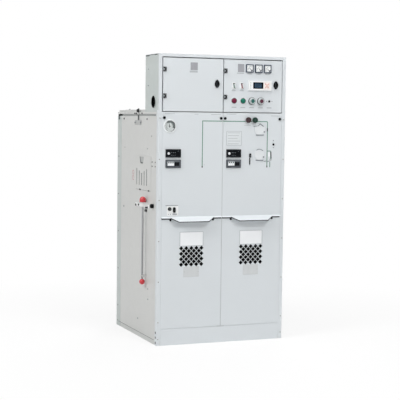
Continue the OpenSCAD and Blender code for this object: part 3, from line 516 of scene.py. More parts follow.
# %% [markdown]
# The next cell is the workbench. A plate is two or three rings of points stacked on each other, a
# turned part is a stack of circles, and a frame is a closed band between two outlines. All of
# them end as one mesh that rides on one body.

# %% Plates, turned parts and frames
CREASE = math.radians(35)


class Piece:
    """Shapes on one face of the cabinet, gathered into one named object."""

    def __init__(self, on):
        self.on, self.points, self.skins, self.inks, self.finishes = on, [], [], [], []

    def skin(self, corners, material):
        """One face between points that are already in the piece."""
        if material not in self.finishes:
            self.finishes.append(material)
        self.skins.append(corners)
        self.inks.append(self.finishes.index(material))

    def stack(self, rings, material):
        """Skin a closed stack of rings with the same number of points, lowest first."""
        first, n = len(self.points), len(rings[0])
        for ring in rings:
            self.points += ring
        for level in range(len(rings) - 1):
            for k in range(n):
                a, b = first + level * n + k, first + level * n + (k + 1) % n
                self.skin((a, b, b + n, a + n), material)
        self.skin(tuple(range(first + n - 1, first - 1, -1)), material)
        last = first + (len(rings) - 1) * n
        self.skin(tuple(range(last, last + n)), material)

    def plate(self, outline, out, material, at=(0, 0), turn=0.0, rim=0.0):
        """A flat part between two heights, turned by degrees, with its rim broken."""
        c, s = math.cos(math.radians(turn)), math.sin(math.radians(turn))

        def set_at(points, height):
            return [(at[0] + c * u - s * v, at[1] + s * u + c * v, height) for u, v in points]

        rings = [set_at(outline, out[0]), set_at(outline, out[1] - rim)]
        if rim > 0.0:
            rings.append(set_at(inset(outline, rim), out[1]))
        self.stack(rings, material)

    def turned(self, profile, material, at=(0, 0), sides=32):
        """A part of (radius, height) steps, turned about the outward line through a point."""
        rings = [[(at[0] + u, at[1] + v, height) for u, v in disc(max(r, 0.02), sides)]
                 for r, height in profile]
        self.stack(rings, material)

    def frame(self, outer, inner, out, material, at=(0, 0)):
        """A flat frame between two outlines with the same number of points."""
        rings = [[(at[0] + u, at[1] + v, h) for u, v in line]
                 for line, h in ((inner, out[0]), (outer, out[0]), (outer, out[1]),
                                 (inner, out[1]))]
        first, n = len(self.points), len(outer)
        for ring in rings:
            self.points += ring
        for level in range(4):
            for k in range(n):
                a, b = first + level * n + k, first + level * n + (k + 1) % n
                c, d = first + (level + 1) % 4 * n + (k + 1) % n, first + (level + 1) % 4 * n + k
                self.skin((a, b, c, d), material)

    def done(self, name, body="cabinet"):
        """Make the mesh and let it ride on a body."""
        mesh = bpy.data.meshes.new(name)
        mesh.from_pydata([self.on @ Vector(p) for p in self.points], [], self.skins)
        for material in self.finishes:
            mesh.materials.append(material)
        mesh.polygons.foreach_set("material_index", self.inks)
        mesh.polygons.foreach_set("use_smooth", [True] * len(self.skins))
        mesh.set_sharp_from_angle(angle=CREASE)
        mesh.update()
        made = bpy.data.objects.new(name, mesh)
        bpy.context.scene.collection.objects.link(made)
        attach(made, body)
        print(f"{name}: {len(self.skins)} faces on {body}")
        return made


print("ways to shape a piece: plate, turned, frame")

# %% [markdown]
# ## Rivets and screws
# The posts are riveted to the frame every 250 mm. A blind rivet is a low dome with a pin hole, so
# it is turned from five steps. Those on the rear posts are drawn in the dark grey of the slot
# shade, so they show as dark dots.

# %% Rivets on the posts
RIVET_R, RIVET_PITCH, RIVET_TOP, RIVET_FOOT = 4.6, 250.0, 1394.0, 40.0
RIVET_INSET, REAR_RIVET_INSET, REAR_RIVET_DROP = 10.0, 30.0, 6.0
rivet_heights = [RIVET_TOP - k * RIVET_PITCH for k in range(6)] + [RIVET_FOOT]


def rivet(piece, at, r=RIVET_R, head=side_paint):
    """A blind rivet: a low dome with the dark end of its pin."""
    piece.turned([(r, 0), (r, 0.5), (r * 0.82, 1.3), (r * 0.5, 1.8), (r * 0.3, 1.9)], head, at, 16)
    piece.turned([(r * 0.5, 1.7), (r * 0.5, 1.95)], black_zinc, at, 12)


HALF_W = -LEFT_X / MM
DEPTH = (REAR_Y - FRONT_Y) / MM
post_rivets = Piece(FRONT)
for height in rivet_heights:
    for x in (-HALF_W + RIVET_INSET, HALF_W - RIVET_INSET):
        rivet(post_rivets, (x, height))
post_rivets.done("front_post_rivets")

# the rivet heads on the rear posts take the dark slot-shade grey
for name, on, sign in (("left", LEFT, -1), ("right", RIGHT, 1)):
    rivets = Piece(on)
    for height in rivet_heights:
        rivet(rivets, (sign * (DEPTH - REAR_RIVET_INSET), height - REAR_RIVET_DROP), RIVET_R,
              slot_shade)
    rivets.done(f"{name}_rear_post_rivets")
rivets = Piece(REAR)
for height in rivet_heights:
    for x in (-HALF_W + 2 * RIVET_INSET, HALF_W - 2 * RIVET_INSET):
        rivet(rivets, (x, height - REAR_RIVET_DROP))
rivets.done("rear_rivets")

# %% [markdown]
# The screws of the side panels are pan heads with a cross recess. The recess is too small to cut,
# so two dark slots are laid on the head instead. Near the lever there are also a stop, two dark
# studs and a small latch. Places are given as the distance behind the front and the height, in
# millimetres.

# %% Screws of the side panels
def pan_screw(piece, at, r=5.0, head=zinc_steel):
    """A domed screw head with a crossed recess."""
    piece.turned([(r, 0), (r, 1.0), (r * 0.85, 2.2), (r * 0.5, 2.9), (0, 3.0)], head, at, 18)
    for turn in (45.0, 135.0):
        piece.plate(rounded(r * 1.1, r * 0.26), (2.6, 3.05), black_zinc, at, turn)


TOP_SCREWS = ((664, 1389), (205, 1387))
LOW_SCREWS = ((161, 331), (159, 266), (351, 116))
EDGE_SCREWS = ((191, 1203), (641, 1202), (115, 1282))
LEVER_STUDS, STRIP_OUT = ((398, 841), (345, 845)), 3.0
BOX_SCREWS = ((187, 1695.5), (187, 1594.0))
BRACKET_SCREWS = ((45, 1098), (45, 1124), (102, 1098), (102, 1124))
BOX_RIVETS, BOX_RIVET_R = ((214, 1765), (188, 1695)), 3.4

side_screws = Piece(LEFT)
for places, r, head in ((TOP_SCREWS, 7.0, black_zinc), (LOW_SCREWS, 5.5, zinc_steel),
                        (EDGE_SCREWS, 4.5, lug_zinc)):
    for back, height in places:
        pan_screw(side_screws, (-back, height), r, head)
for back, height in LEVER_STUDS:
    side_screws.turned([(7.0, STRIP_OUT), (7.0, STRIP_OUT + 3.0), (5.6, STRIP_OUT + 4.4)],
                       black_zinc, (-back, height), 18)
side_screws.plate(rounded(42.0, 9.0, 2), (STRIP_OUT, STRIP_OUT + 5.0), black_zinc, (-190, 838),
                  4.0, 0.8)
side_screws.plate(rounded(34.0, 15.0, 4), (0.0, 6.0), black_zinc, (-208, 817), 0.0, 1.2)
pan_screw(side_screws, (-656, 813), 6.0, zinc_steel)
for places, r, head in ((BOX_SCREWS, 4.5, zinc_steel), (BRACKET_SCREWS, 4.0, black_zinc)):
    for back, height in places:
        pan_screw(side_screws, (-back, height), r, head)
for back, height in BOX_RIVETS:
    rivet(side_screws, (-back, height), BOX_RIVET_R)
side_screws.done("left_side_screws")

# %% [markdown]
# The right side and the back carry fewer screws, because no lever hangs there. The same two
# helpers set them, each on its own face.

# %% Screws of the right side and the back
side_screws = Piece(RIGHT)
for back, height in (*TOP_SCREWS, LOW_SCREWS[0], LOW_SCREWS[2]):
    pan_screw(side_screws, (back, height))
for back, height in BOX_RIVETS:
    rivet(side_screws, (back, height), BOX_RIVET_R)
side_screws.done("right_side_screws")
rear_screws = Piece(REAR)
for height in (60, 500, 940, 1380):
    for x in (-362, 0, 362):
        pan_screw(rear_screws, (x, height))
rear_screws.done("rear_panel_screws")

# %% [markdown]
# Hex bolts hold the lifting straps to the roof rim, in black, and the lid to the roof, in zinc
# plate. Six flats need six points, and a round collar underneath makes them read as flanged
# bolts.

# %% Hex bolts
def hex_bolt(piece, at, across, out, material):
    """A flanged bolt head of a given width across its flats."""
    piece.turned([(across * 0.72, out), (across * 0.72, out + 1.2), (across * 0.62, out + 2.0)],
                 material, at, 24)
    piece.plate(disc(across * 0.577, 6), (out + 2.0, out + across * 0.6), material, at, 10.0,
                across * 0.07)


LUG_OUT = (LEFT_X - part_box("lifting_lugs")[0].x) / MM
STRAP_BACK, STRAP_Z = 362.0, 1397.0
EAR_Z = DECK_Z / MM - 5.0
FOOT_BACKS, FOOT_Z = (318.0, 424.0), 1365.0
RIM_BACKS, RIM_Z = (410.0, 300.0, 440.0), 1423.0
for name, on, sign in (("left", LEFT, -1), ("right", RIGHT, 1)):
    bolts = Piece(on)
    hex_bolt(bolts, (sign * STRAP_BACK, EAR_Z), 18.0, LUG_OUT, black_zinc)
    bolts.plate(rounded(16.0, 34.0, 2), (LUG_OUT, LUG_OUT + 1.5), black_zinc,
                (sign * STRAP_BACK, STRAP_Z), 0.0, 0.4)
    for back in FOOT_BACKS:
        bolts.turned([(6.0, LUG_OUT), (6.0, LUG_OUT + 3.0), (4.6, LUG_OUT + 4.2)], zinc_steel,
                     (sign * back, FOOT_Z), 20)
    for back in RIM_BACKS:
        bolts.turned([(5.4, 0), (5.4, 3.0), (4.2, 4.2)], black_zinc, (sign * back, RIM_Z), 18)
    bolts.done(f"{name}_roof_rim_bolts")
lid_low, lid_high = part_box("roof_lid")
lid_bolts = Piece(ROOF)
LID_MARGIN = 22.0
for x in (lid_low.x / MM + LID_MARGIN, 0.0, lid_high.x / MM - LID_MARGIN):
    for y in (lid_low.y / MM + LID_MARGIN, lid_high.y / MM - LID_MARGIN):
        hex_bolt(lid_bolts, (x, y), 9.0, (lid_high.z - DECK_Z) / MM, zinc_steel)
lid_bolts.done("roof_lid_bolts")

# %% [markdown]
# ## Foam seal under the roof rim
# The roof rim stands clear of the side panels, so that rain drips off outside them. A strip of
# grey foam closes that gap from within, glued to the backs of the panel and the rim. Its mid grey
# is painted shade for the inside of the gap, and a black rubber block at its rear end is painted
# shade for the dark corner there. It is easy to forget, and without the strip daylight would show
# from one side of the cabinet to the other.

# %% Seal strips
PANEL_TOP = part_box("left_side_panel")[1].z / MM
SHEET = 2.0
SEAL_H, SEAL_T, SEAL_END, SEAL_LAP, END_W = 34.0, 4.0, 44.0, 12.0, 30.0
seal_z = PANEL_TOP - SEAL_LAP + SEAL_H / 2
for name, on, middle, run, rear_end in (("left", LEFT, -DEPTH / 2, DEPTH, -1),
                                        ("right", RIGHT, DEPTH / 2, DEPTH, 1),
                                        ("rear", REAR, 0.0, 2 * HALF_W, 1)):
    seal = Piece(on)
    # painted shade: a grey foam strip for the shade inside the gap
    seal.plate(rounded(run - 2 * SEAL_END, SEAL_H, 1), (-SHEET - SEAL_T, -SHEET), gap_shade_foam,
               (middle, seal_z), 0.0, 0.6)
    # painted shade: a black block for the dark corner at the rear end
    seal.plate(rounded(END_W, SEAL_H - 4.0, 1), (-SHEET - SEAL_T, -SHEET + 0.3), black_rubber,
               (middle + rear_end * (run / 2 - SEAL_END - 14.0), seal_z))
    seal.done(f"{name}_rim_seal")

# %% [markdown]
# Sheets that meet leave a seam, and the shade inside it shows as a dark line. Each line here is
# painted shade: a thin dark plate where each side panel stands on the base ring, and dashes where
# the top of the instrument box folds over its sides. At each rear corner the post stops short of
# the roof rim, and a black plate and a grey one on the post are painted shade for that open notch.

# %% Seams and notches, in painted shade
foot_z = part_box("left_side_panel")[0].z / MM
box_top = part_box("lv_left_side")[1].z / MM
box_depth = (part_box("lv_left_side")[1].y - FRONT_Y) / MM
for name, on, sign in (("left", LEFT, -1), ("right", RIGHT, 1)):
    seam_and_notch_shade = Piece(on)
    # painted shade: a dark line where the side panel stands on the base ring
    seam_and_notch_shade.plate(rounded(DEPTH - 2 * SEAL_END, 2.4, 0.6), (-SHEET, 0.25), slot_shade,
                (sign * DEPTH / 2, foot_z + 0.6))
    # painted shade: black and grey plates for the open notch at the rear corner
    for back, z, w, h, shade in ((755.0, 1411.5, 56.0, 11.0, black_rubber),
                                 (768.0, 1394.5, 30.0, 23.0, slot_shade)):
        seam_and_notch_shade.plate(rounded(w, h, 1), (0.0, 0.3), shade, (sign * back, z))
    # painted shade: dashes under the fold of the box top
    for start, end, h in ((0.02, 0.3, 8.0), (0.3, 0.7, 3.0), (0.7, 0.9, 6.0)):
        seam_and_notch_shade.plate(rounded((end - start) * box_depth, h), (0.0, 0.3), slot_shade,
                    (sign * box_depth * (1 - (start + end) / 2), box_top - 1.0 - h / 2))
    seam_and_notch_shade.done(f"{name}_seams")

# %% [markdown]
# ## Marks on the mechanism panels
# A line drawing of the circuit runs across the front, so that an operator sees which switch each
# hole works. On the real panel it is a printed film. Here each stroke is a plate 0.4 mm thick:
# thin enough to look printed, and thick enough never to flicker against the paint behind it.

# %% Inks and cards
mimic_ink = finish("mimic_line_ink", "#52826d", 0.55, (60.0, 0.05), (1800.0, 0.05))
dark_ink = finish("dark_marking_ink", "#24282b", 0.6, (60.0, 0.08), (1800.0, 0.05))
soft_grey = finish("indicator_border_grey", "#7c8288", 0.45, (40.0, 0.06), (2000.0, 0.08))
grey_ink = finish("grey_marking_ink", "#a4a9ad", 0.55, (60.0, 0.05), (1800.0, 0.05))
card_white = finish("blank_card", "#f2f4f6", 0.5, (25.0, 0.02), (1500.0, 0.06))
card_pale = finish("film_card", "#d9dee0", 0.5, (25.0, 0.02), (1500.0, 0.06))
card_grey = finish("card_border", "#b3b8bb", 0.5, (25.0, 0.03), (1500.0, 0.06))
print("inks and cards mixed")

# %% [markdown]
# The circuit itself is green: one bus across the top, and a feeder down each unit to its cable.
# The bus stops short of the two push buttons and of the seam between the panels, as it would on a
# film that is cut out round them. A stroke is a plate turned along the line between two points.

# %% Circuit lines
FILM = (0.0, 0.4)
LINE_W = 5.0
BUS_Z, LINE_END_Z = 1380.0, 1105.0
LEFT_FEED_X, RIGHT_FEED_X = -135.6, 303.0
SEAM, BUTTON_CLEAR = 1.5, 15.0
SWITCH_TOP, SWITCH_FOOT = 1339.0, 1319.0


def spot(node):
    """Centre, width and height of a node on the front, in millimetres."""
    a, b = (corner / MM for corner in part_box(node))
    return (a.x + b.x) / 2, (a.z + b.z) / 2, b.x - a.x, b.z - a.z


def stroke(piece, start, end, w=LINE_W, ink=mimic_ink, out=FILM):
    """A straight printed line between two points of the face."""
    along = Vector(end) - Vector(start)
    piece.plate(rounded(along.length + w, w), out, ink,
                (Vector(start) + Vector(end)) / 2, math.degrees(math.atan2(along.y, along.x)))


close_spot, open_spot = spot("close_push_button"), spot("open_push_button")
circuit = Piece(FRONT)
stroke(circuit, (LEFT_FEED_X, LINE_END_Z), (LEFT_FEED_X, BUS_Z))
stroke(circuit, (LEFT_FEED_X + LINE_W, BUS_Z), (-SEAM - LINE_W, BUS_Z))
for start, end in ((SEAM, close_spot[0] - BUTTON_CLEAR),
                   (close_spot[0] + BUTTON_CLEAR, open_spot[0] - BUTTON_CLEAR),
                   (open_spot[0] + BUTTON_CLEAR, RIGHT_FEED_X)):
    stroke(circuit, (start + LINE_W / 2, BUS_Z), (end - LINE_W / 2, BUS_Z))
stroke(circuit, (RIGHT_FEED_X, BUS_Z - LINE_W), (RIGHT_FEED_X, SWITCH_TOP))
stroke(circuit, (RIGHT_FEED_X, SWITCH_FOOT), (RIGHT_FEED_X, LINE_END_Z))
for start, end in (((307.0, 1196.0), (327.0, 1196.0)), ((327.0, 1191.0), (327.0, 1187.0)),
                   ((328.0, 1166.0), (328.0, 1149.0))):
    stroke(circuit, start, end, 4.0)
stroke(circuit, (323.0, 1127.0), (323.0, 1097.0), 4.6)
circuit.done("circuit_lines")

# %% [markdown]
# Short dark strokes stand for the switches, the cable ends and the earth sign of the drawing.
# They lie beside the green lines and never across them, so no two films share a surface.

# %% Switch marks on the circuit
marks = Piece(FRONT)
stroke(marks, (RIGHT_FEED_X, 1322.0), (RIGHT_FEED_X, 1336.0), 7.0, dark_ink)
stroke(marks, (331.0, 1152.0), (329.0, 1188.0), 7.5, dark_ink)
marks.plate(rounded(11.0, 28.0, 1), FILM, card_white, (317.5, 1175.0))
stroke(marks, (LEFT_FEED_X, 1097.0), (LEFT_FEED_X, 1100.0), 7.0, dark_ink)
stroke(marks, (RIGHT_FEED_X, 1097.0), (RIGHT_FEED_X, 1100.0), 7.0, dark_ink)
stroke(marks, (-122.0, 1108.0), (-122.0, 1112.0), 2.4, grey_ink)
for k, half in enumerate((8.0, 5.5, 3.0)):
    stroke(marks, (328.0 - half, 1145.0 - 5 * k), (328.0 + half, 1145.0 - 5 * k), 1.8, dark_ink)
for x in (290.0, 313.0):
    stroke(marks, (x - 7, 1131.0), (x + 7, 1133.0), 4.2, soft_grey)
marks.done("switch_marks")

# %% [markdown]
# ## The gas pressure gauge
# The dial sits deep in its case, so the case throws a dark crescent over it. A dark liner in the
# recess gives that crescent from any side. The needle, scale and hub are thin plates on the dial,
# and a pane of glass closes the front: it is a nearly clear skin, because at this size a
# refracting pane would cost much time for no visible gain.

# %% Gauge dial
dial_white = finish("dial_white", "#fafbf9", 0.5, (40.0, 0.015), (1800.0, 0.04))
zone_green = finish("gauge_zone_green", "#1d3a32", 0.5, (60.0, 0.06), (1800.0, 0.04))
clear_pane = finish("clear_pane", "#e8eef0", 0.06, (40.0, 0.02), (400.0, 0.01), alpha=0.1)
gauge_face = finish("gauge_face_grey", "#e3e9e7", 0.5, (40.0, 0.015), (1800.0, 0.04))
gx, gz = spot("pressure_gauge")[:2]
RECESS, GAUGE_R = 9.0, 34.0
SWEEP_FROM, SWEEP, TICKS = 225.0, 270.0, 13
gauge = Piece(FRONT)
gauge.turned([(GAUGE_R - 0.6, -RECESS), (GAUGE_R - 0.6, -RECESS + 0.5)], gauge_face, (gx, gz), 64)
gauge.frame(disc(GAUGE_R - 0.1, 64), disc(GAUGE_R - 0.9, 64), (-RECESS, 2.8), black_rubber,
            (gx, gz))
for k in range(TICKS):
    a = math.radians(SWEEP_FROM - SWEEP * k / (TICKS - 1))
    reach = 17.5 if k % 3 else 15.5
    stroke(gauge, (gx + reach * math.cos(a), gz + reach * math.sin(a)),
           (gx + 20.0 * math.cos(a), gz + 20.0 * math.sin(a)), 0.9, dark_ink,
           (-RECESS + 0.4, -RECESS + 0.7))
gauge.plate(band(21.0, 32.8, -24.0, 124.0, 48), (-RECESS + 0.4, -RECESS + 0.65), zone_green,
            (gx, gz))
gauge.plate([(-2.6, -8.0), (2.6, -8.0), (1.4, 20.0), (-1.4, 20.0)],
            (-RECESS + 1.6, -RECESS + 2.4), dark_ink, (gx, gz), 12.0)
gauge.turned([(4.6, -RECESS + 0.5), (4.6, -RECESS + 3.0), (3.4, -RECESS + 3.8)], black_zinc,
             (gx, gz), 24)
gauge.turned([(GAUGE_R - 0.8, 0.6), (GAUGE_R - 0.8, 1.4)], clear_pane, (gx, gz), 64)
gauge.done("gauge_dial")

# %% [markdown]
# ## Fault and voltage indicators
# Each unit has two small instruments with sunk faces. The upper one shows a fault by a pale dome
# lamp. The lower one carries three test sockets in a white window and two dark displays. Both get
# a fine border, because on such a dark moulding only the edges tell the eye how it is made.

# %% Fault indicator faces
lamp_pale = finish("pale_lamp_lens", "#e9ecee", 0.25, (60.0, 0.04), (420.0, 0.2), coat=0.6)
window_black = finish("dark_display_window", "#0a0c10", 0.4, (50.0, 0.15), (300.0, 0.02),
                      shine_level=0.06)
FACE_OUT, INDICATOR_W = 5.0, 98.0


def indicator_spots(node):
    """The two places, left and right, of a pair of equal instruments in one node."""
    x, z, span, _ = spot(node)
    half = (span - INDICATOR_W) / 2
    return [(x - half, z), (x + half, z)]


faces = Piece(FRONT)
for x, z in indicator_spots("fault_indicators"):
    faces.frame(rounded(89.0, 41.0, 2), rounded(86.6, 38.6, 2), (FACE_OUT, FACE_OUT + 0.5),
                grey_plastic, (x, z))
    faces.turned([(9.4, FACE_OUT), (9.4, FACE_OUT + 1.0), (8.4, FACE_OUT + 1.4)], grey_plastic,
                 (x - 31, z - 1), 28)
    faces.turned([(7.9, FACE_OUT + 1), (7.5, FACE_OUT + 2.6), (5.9, FACE_OUT + 4.2),
                  (3.2, FACE_OUT + 5.1), (0, FACE_OUT + 5.4)], lamp_pale, (x - 31, z - 1), 28)
    faces.plate(rounded(86.4, 38.4, 2), (FACE_OUT - 0.2, FACE_OUT + 0.2), window_black, (x, z))
    for k in range(3):
        faces.turned([(2.2, FACE_OUT), (2.2, FACE_OUT + 0.7), (1.6, FACE_OUT + 1.0)], soft_grey,
                     (x - 11 + 11 * k, z + 4.5), 14)
        faces.plate(rounded(7.0, 1.8), (FACE_OUT, FACE_OUT + 0.4), soft_grey,
                    (x - 11 + 11 * k, z - 12))
    faces.turned([(3.0, FACE_OUT), (3.0, FACE_OUT + 1.5), (2.2, FACE_OUT + 2.0)], grey_plastic,
                 (x + 31, z + 12), 20)
faces.done("fault_indicator_faces")

# %% [markdown]
# The voltage indicator has its sockets on the left, where a tester is plugged in, and its
# displays on the right. The white window is a thin plate, and each socket is a low dark disc that
# stands on it.

# %% Voltage indicator faces
faces = Piece(FRONT)
for x, z in indicator_spots("voltage_indicators"):
    faces.frame(rounded(89.0, 41.0, 2), rounded(87.0, 39.0, 2), (FACE_OUT, FACE_OUT + 0.6),
                soft_grey, (x, z))
    faces.plate(rounded(84.0, 4.0, 1), (FACE_OUT, FACE_OUT + 0.4), soft_grey, (x, z + 17.0))
    faces.plate(rounded(43.0, 25.0, 1.5), (FACE_OUT, FACE_OUT + 0.9), card_pale,
                (x - 16, z + 0.5), 0.0, 0.4)
    for k in range(3):
        faces.turned([(3.8, FACE_OUT + 0.8), (3.8, FACE_OUT + 1.6), (2.8, FACE_OUT + 1.7)],
                     black_plastic, (x - 29.5 + 13.5 * k, z + 8), 20)
        faces.plate(rounded(10.5, 13.0, 2), (FACE_OUT + 0.8, FACE_OUT + 1.2), card_white,
                    (x - 29.5 + 13.5 * k, z - 4.5))
    for k in range(2):
        faces.plate(rounded(13.2, 21.0, 1.5), (FACE_OUT, FACE_OUT + 0.8), window_black,
                    (x + 16 + 14.4 * k, z - 1.5), 0.0, 0.3)
faces.done("voltage_indicator_faces")

# %% [markdown]
# ## Push buttons, guards and locks
# The two push buttons close and open the breaker. A thin washer round each stem hides the hole,
# and a raised mark on each head rides with the button, so it moves when the button is pressed.

# %% Push button washers and marks
washers = Piece(FRONT)
for x, z, _, _ in (close_spot, open_spot):
    washers.frame(disc(14.0, 36), disc(8.4, 36), (0.0, 0.7), zinc_steel, (x, z))
washers.done("push_button_washers")
HEAD_OUT = (FRONT_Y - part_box("close_push_button")[0].y) / MM
for (x, z, _, _), name, paint in ((close_spot, "close_button", close_brown),
                                  (open_spot, "open_button", open_green)):
    mark = Piece(FRONT)
    mark.plate(rounded(3.0, 17.0, 1.2), (HEAD_OUT - 0.1, HEAD_OUT + 0.6), grey_plastic, (x, z), 0.0,
               0.2)
    mark.frame(disc(16.4, 40), disc(14.6, 40), (HEAD_OUT - 0.1, HEAD_OUT + 0.5), paint, (x, z))
    mark.done(f"{name}_head_mark", name)

# %% [markdown]
# Each hole where the lever goes in has a clear guard. It turns on a screw, has a fold along its
# foot and stiff ribs along its edge. The ribs are short strokes with some thickness, laid round
# the plate.

# %% Guard trim
guards = Piece(FRONT)
GUARD_X, UPPER_Z, LOWER_Z = 249.5, 1330.0, 1172.0
GUARD_FOOT, RIB = -34.0, (0.0, 4.2)
for x, z, r in ((GUARD_X, UPPER_Z, 36.0), (GUARD_X, LOWER_Z, 33.0)):
    guards.turned([(4.8, 5.9), (4.8, 8.0), (4.0, 8.8), (2.0, 9.2)], zinc_steel,
                  (x + r - 6, z - 13), 24)
    guards.plate(rounded(52.0, 5.5, 1), (0.0, 3.4), soft_grey, (x + 1.5, z + GUARD_FOOT), 0.0, 0.4)
stroke(guards, (209.0, 1350.5), (237.0, 1353.0), 2.8, soft_grey, RIB)
stroke(guards, (239.0, 1354.5), (249.5, 1364.5), 4.4, soft_grey, RIB)
stroke(guards, (253.0, 1364.5), (273.0, 1351.0), 4.8, soft_grey, RIB)
guards.plate(band(33.4, 36.8, 48.0, 124.0, 30), RIB, soft_grey, (GUARD_X, LOWER_Z))
guards.done("guard_trim")

# %% [markdown]
# A short chain with a pin hangs under the lock of the right panel, and a round socket with two
# small dots sits by the right edge. A chain is only a strip with four slanted links on it: from a
# step away the eye adds the rest.

# %% Lever lock and socket
CHAIN_X, SOCKET_X = 184.0, 346.0
fittings = Piece(FRONT)
fittings.plate(rounded(5.0, 46.0, 1.5), (0.0, 1.6), black_plastic, (CHAIN_X, 1131.0), 0.0, 0.4)
for k in range(4):
    fittings.plate(rounded(9.0, 4.6, 1.6), (1.5, 3.4), black_plastic, (CHAIN_X, 1146.0 - 9.0 * k),
                   25.0, 0.4)
fittings.turned([(2.8, 0), (2.8, 2.2), (1.8, 2.8)], zinc_steel, (CHAIN_X, 1112.0), 18)
fittings.plate(rounded(3.0, 14.0, 1.2), (7.9, 8.6), soft_grey, (CHAIN_X + 2.0, 1167.0))
fittings.turned([(7.0, 0), (7.0, 2.5), (6.2, 3.4), (3.6, 4.4), (0, 4.6)], black_plastic,
                (SOCKET_X, 1237.0), 32)
for z in (1262.0, 1217.0):
    fittings.turned([(3.2, 0), (3.2, 0.5)], soft_grey, (SOCKET_X, z), 16)
fittings.done("lever_lock_fittings")

# %% [markdown]
# A framed card and thin strips sit among the devices of the panels. They are blank here: the card
# is a pale sheet in a grey frame with five plain bars, and each strip is one thin plate.

# %% Blank card and name strips
card = Piece(FRONT)
CARD_AT, CARD_W, CARD_H = (75.5, 1274.5), 103.0, 89.0
card.frame(rounded(CARD_W, CARD_H, 3), rounded(CARD_W - 5, CARD_H - 5, 2), (0.0, 0.9), card_grey,
           CARD_AT)
card.plate(rounded(CARD_W - 5, CARD_H - 5, 2), (0.0, 0.5), card_pale, CARD_AT)
for k in range(5):
    bar_z = CARD_AT[1] + 34 - 17 * k
    stroke(card, (CARD_AT[0] - 40, bar_z), (CARD_AT[0] + 40 - 9 * (k % 3), bar_z), 3.2, card_grey,
           (0.4, 0.65))
card.done("blank_instruction_card")
strips = Piece(FRONT)
for x, z, w in ((-350.0, 1421.0, 65.0), (-177.0, 1420.6, 26.0), (-48.0, 1421.0, 66.0),
                (56.0, 1423.5, 67.0), (358.0, 1416.3, 64.0), (166.0, 1355.5, 46.0)):
    strips.plate(rounded(w, 3.0, 0.8), FILM, card_grey, (x, z))
strips.done("panel_name_strips")

# %% [markdown]
# An interlock keeps the cable cover shut until its cable is earthed. It shows as a white plate in
# the lower left corner of the left panel, with a keyed dial, a slide and two small screws.

# %% Interlock plate
interlock = Piece(FRONT)
PLATE_AT, DIAL_AT = (-326.5, 830.0), (-347.0, 841.0)
interlock.plate(rounded(73.0, 60.0, 2), (0.0, 1.2), pale_plastic, PLATE_AT, 0.0, 0.4)
stroke(interlock, (-371.0, 862.5), (-293.0, 862.5), 3.6, soft_grey)
interlock.plate(rounded(30.0, 7.0, 2), (1.2, 4.0), grey_ink, (-313.0, 809.0), 0.0, 0.8)
for x in (-353.0, -340.0):
    interlock.turned([(2.6, 1.1), (2.6, 2.2), (1.6, 2.7)], zinc_steel, (x, 809.0), 16)
interlock.turned([(8.0, 7.9), (8.0, 9.0), (7.0, 9.6)], black_zinc, DIAL_AT, 28)
interlock.plate(rounded(2.4, 9.0), (9.4, 9.9), zinc_steel, DIAL_AT, 20.0)
interlock.plate(rounded(5.0, 22.0, 2.4), (7.9, 9.2), black_zinc, (-317.0, 835.0), 0.0, 0.4)
interlock.done("interlock_plate")

# %% [markdown]
# ## Instruments on the right door
# Three moving-coil meters measure the phase currents. Such a meter pivots in its lower right
# corner and sweeps a quarter circle, so the scale is a quarter ring about that corner. Everything
# on the door rides on the door's body and swings with it.

# %% Meter dials
METER_BODY = "right_door_swing"
mx, mz, meters_w, METER_S = spot("panel_meters")
METER_PITCH = (meters_w - METER_S) / 2
meter_glass = finish("meter_glass", "#dfe6ea", 0.05, (40.0, 0.02), (400.0, 0.01), alpha=0.1)
METER_XS = [mx + k * METER_PITCH for k in (-1, 0, 1)]
NEEDLES = (140.0, 136.0, 143.0)
PRINT = (5.4, 5.7)
dials = Piece(FRONT)
for x, needle in zip(METER_XS, NEEDLES):
    pivot = (x + 13.0, mz - 13.0)
    dials.plate(rounded(METER_S - 8.6, METER_S - 8.6, 1.5), (5.0, 5.5), dial_white, (x, mz))
    dials.frame(rounded(METER_S - 8.1, METER_S - 8.1, 1.5),
                rounded(METER_S - 10, METER_S - 10, 1.5), (5.0, 7.8), blue_black, (x, mz))
    dials.plate(band(25.6, 26.6, 95.0, 175.0, 20), PRINT, dark_ink, pivot)
    for tick in range(9):
        a = math.radians(97.0 + 9.5 * tick)
        stroke(dials, (pivot[0] + 26 * math.cos(a), pivot[1] + 26 * math.sin(a)),
               (pivot[0] + 29 * math.cos(a), pivot[1] + 29 * math.sin(a)), 0.7, dark_ink, PRINT)
    dials.plate([(-2, -2.0), (21.0, -1.0), (21.0, 1.0), (-2, 2.0)], (6.0, 6.5), dark_ink, pivot,
                needle)
    dials.plate(band(0.5, 9.0, 75.0, 195.0, 18), (5.4, 6.9), blue_black, (x + 17.0, mz - 17.0))
    dials.turned([(3.0, 6.4), (3.0, 7.2), (2.2, 7.6)], black_zinc, pivot, 18)
    dials.plate(rounded(METER_S - 8.6, METER_S - 8.6, 1.5), (7.4, 7.7), meter_glass, (x, mz))
dials.done("meter_dials", METER_BODY)

# %% [markdown]
# The protection relay shows its values on a small liquid crystal display and is set by a keypad.
# The display is a dark gloss frame round a slate-blue field. Its keys are cream with orange
# arrows, four of them set cornerwise.

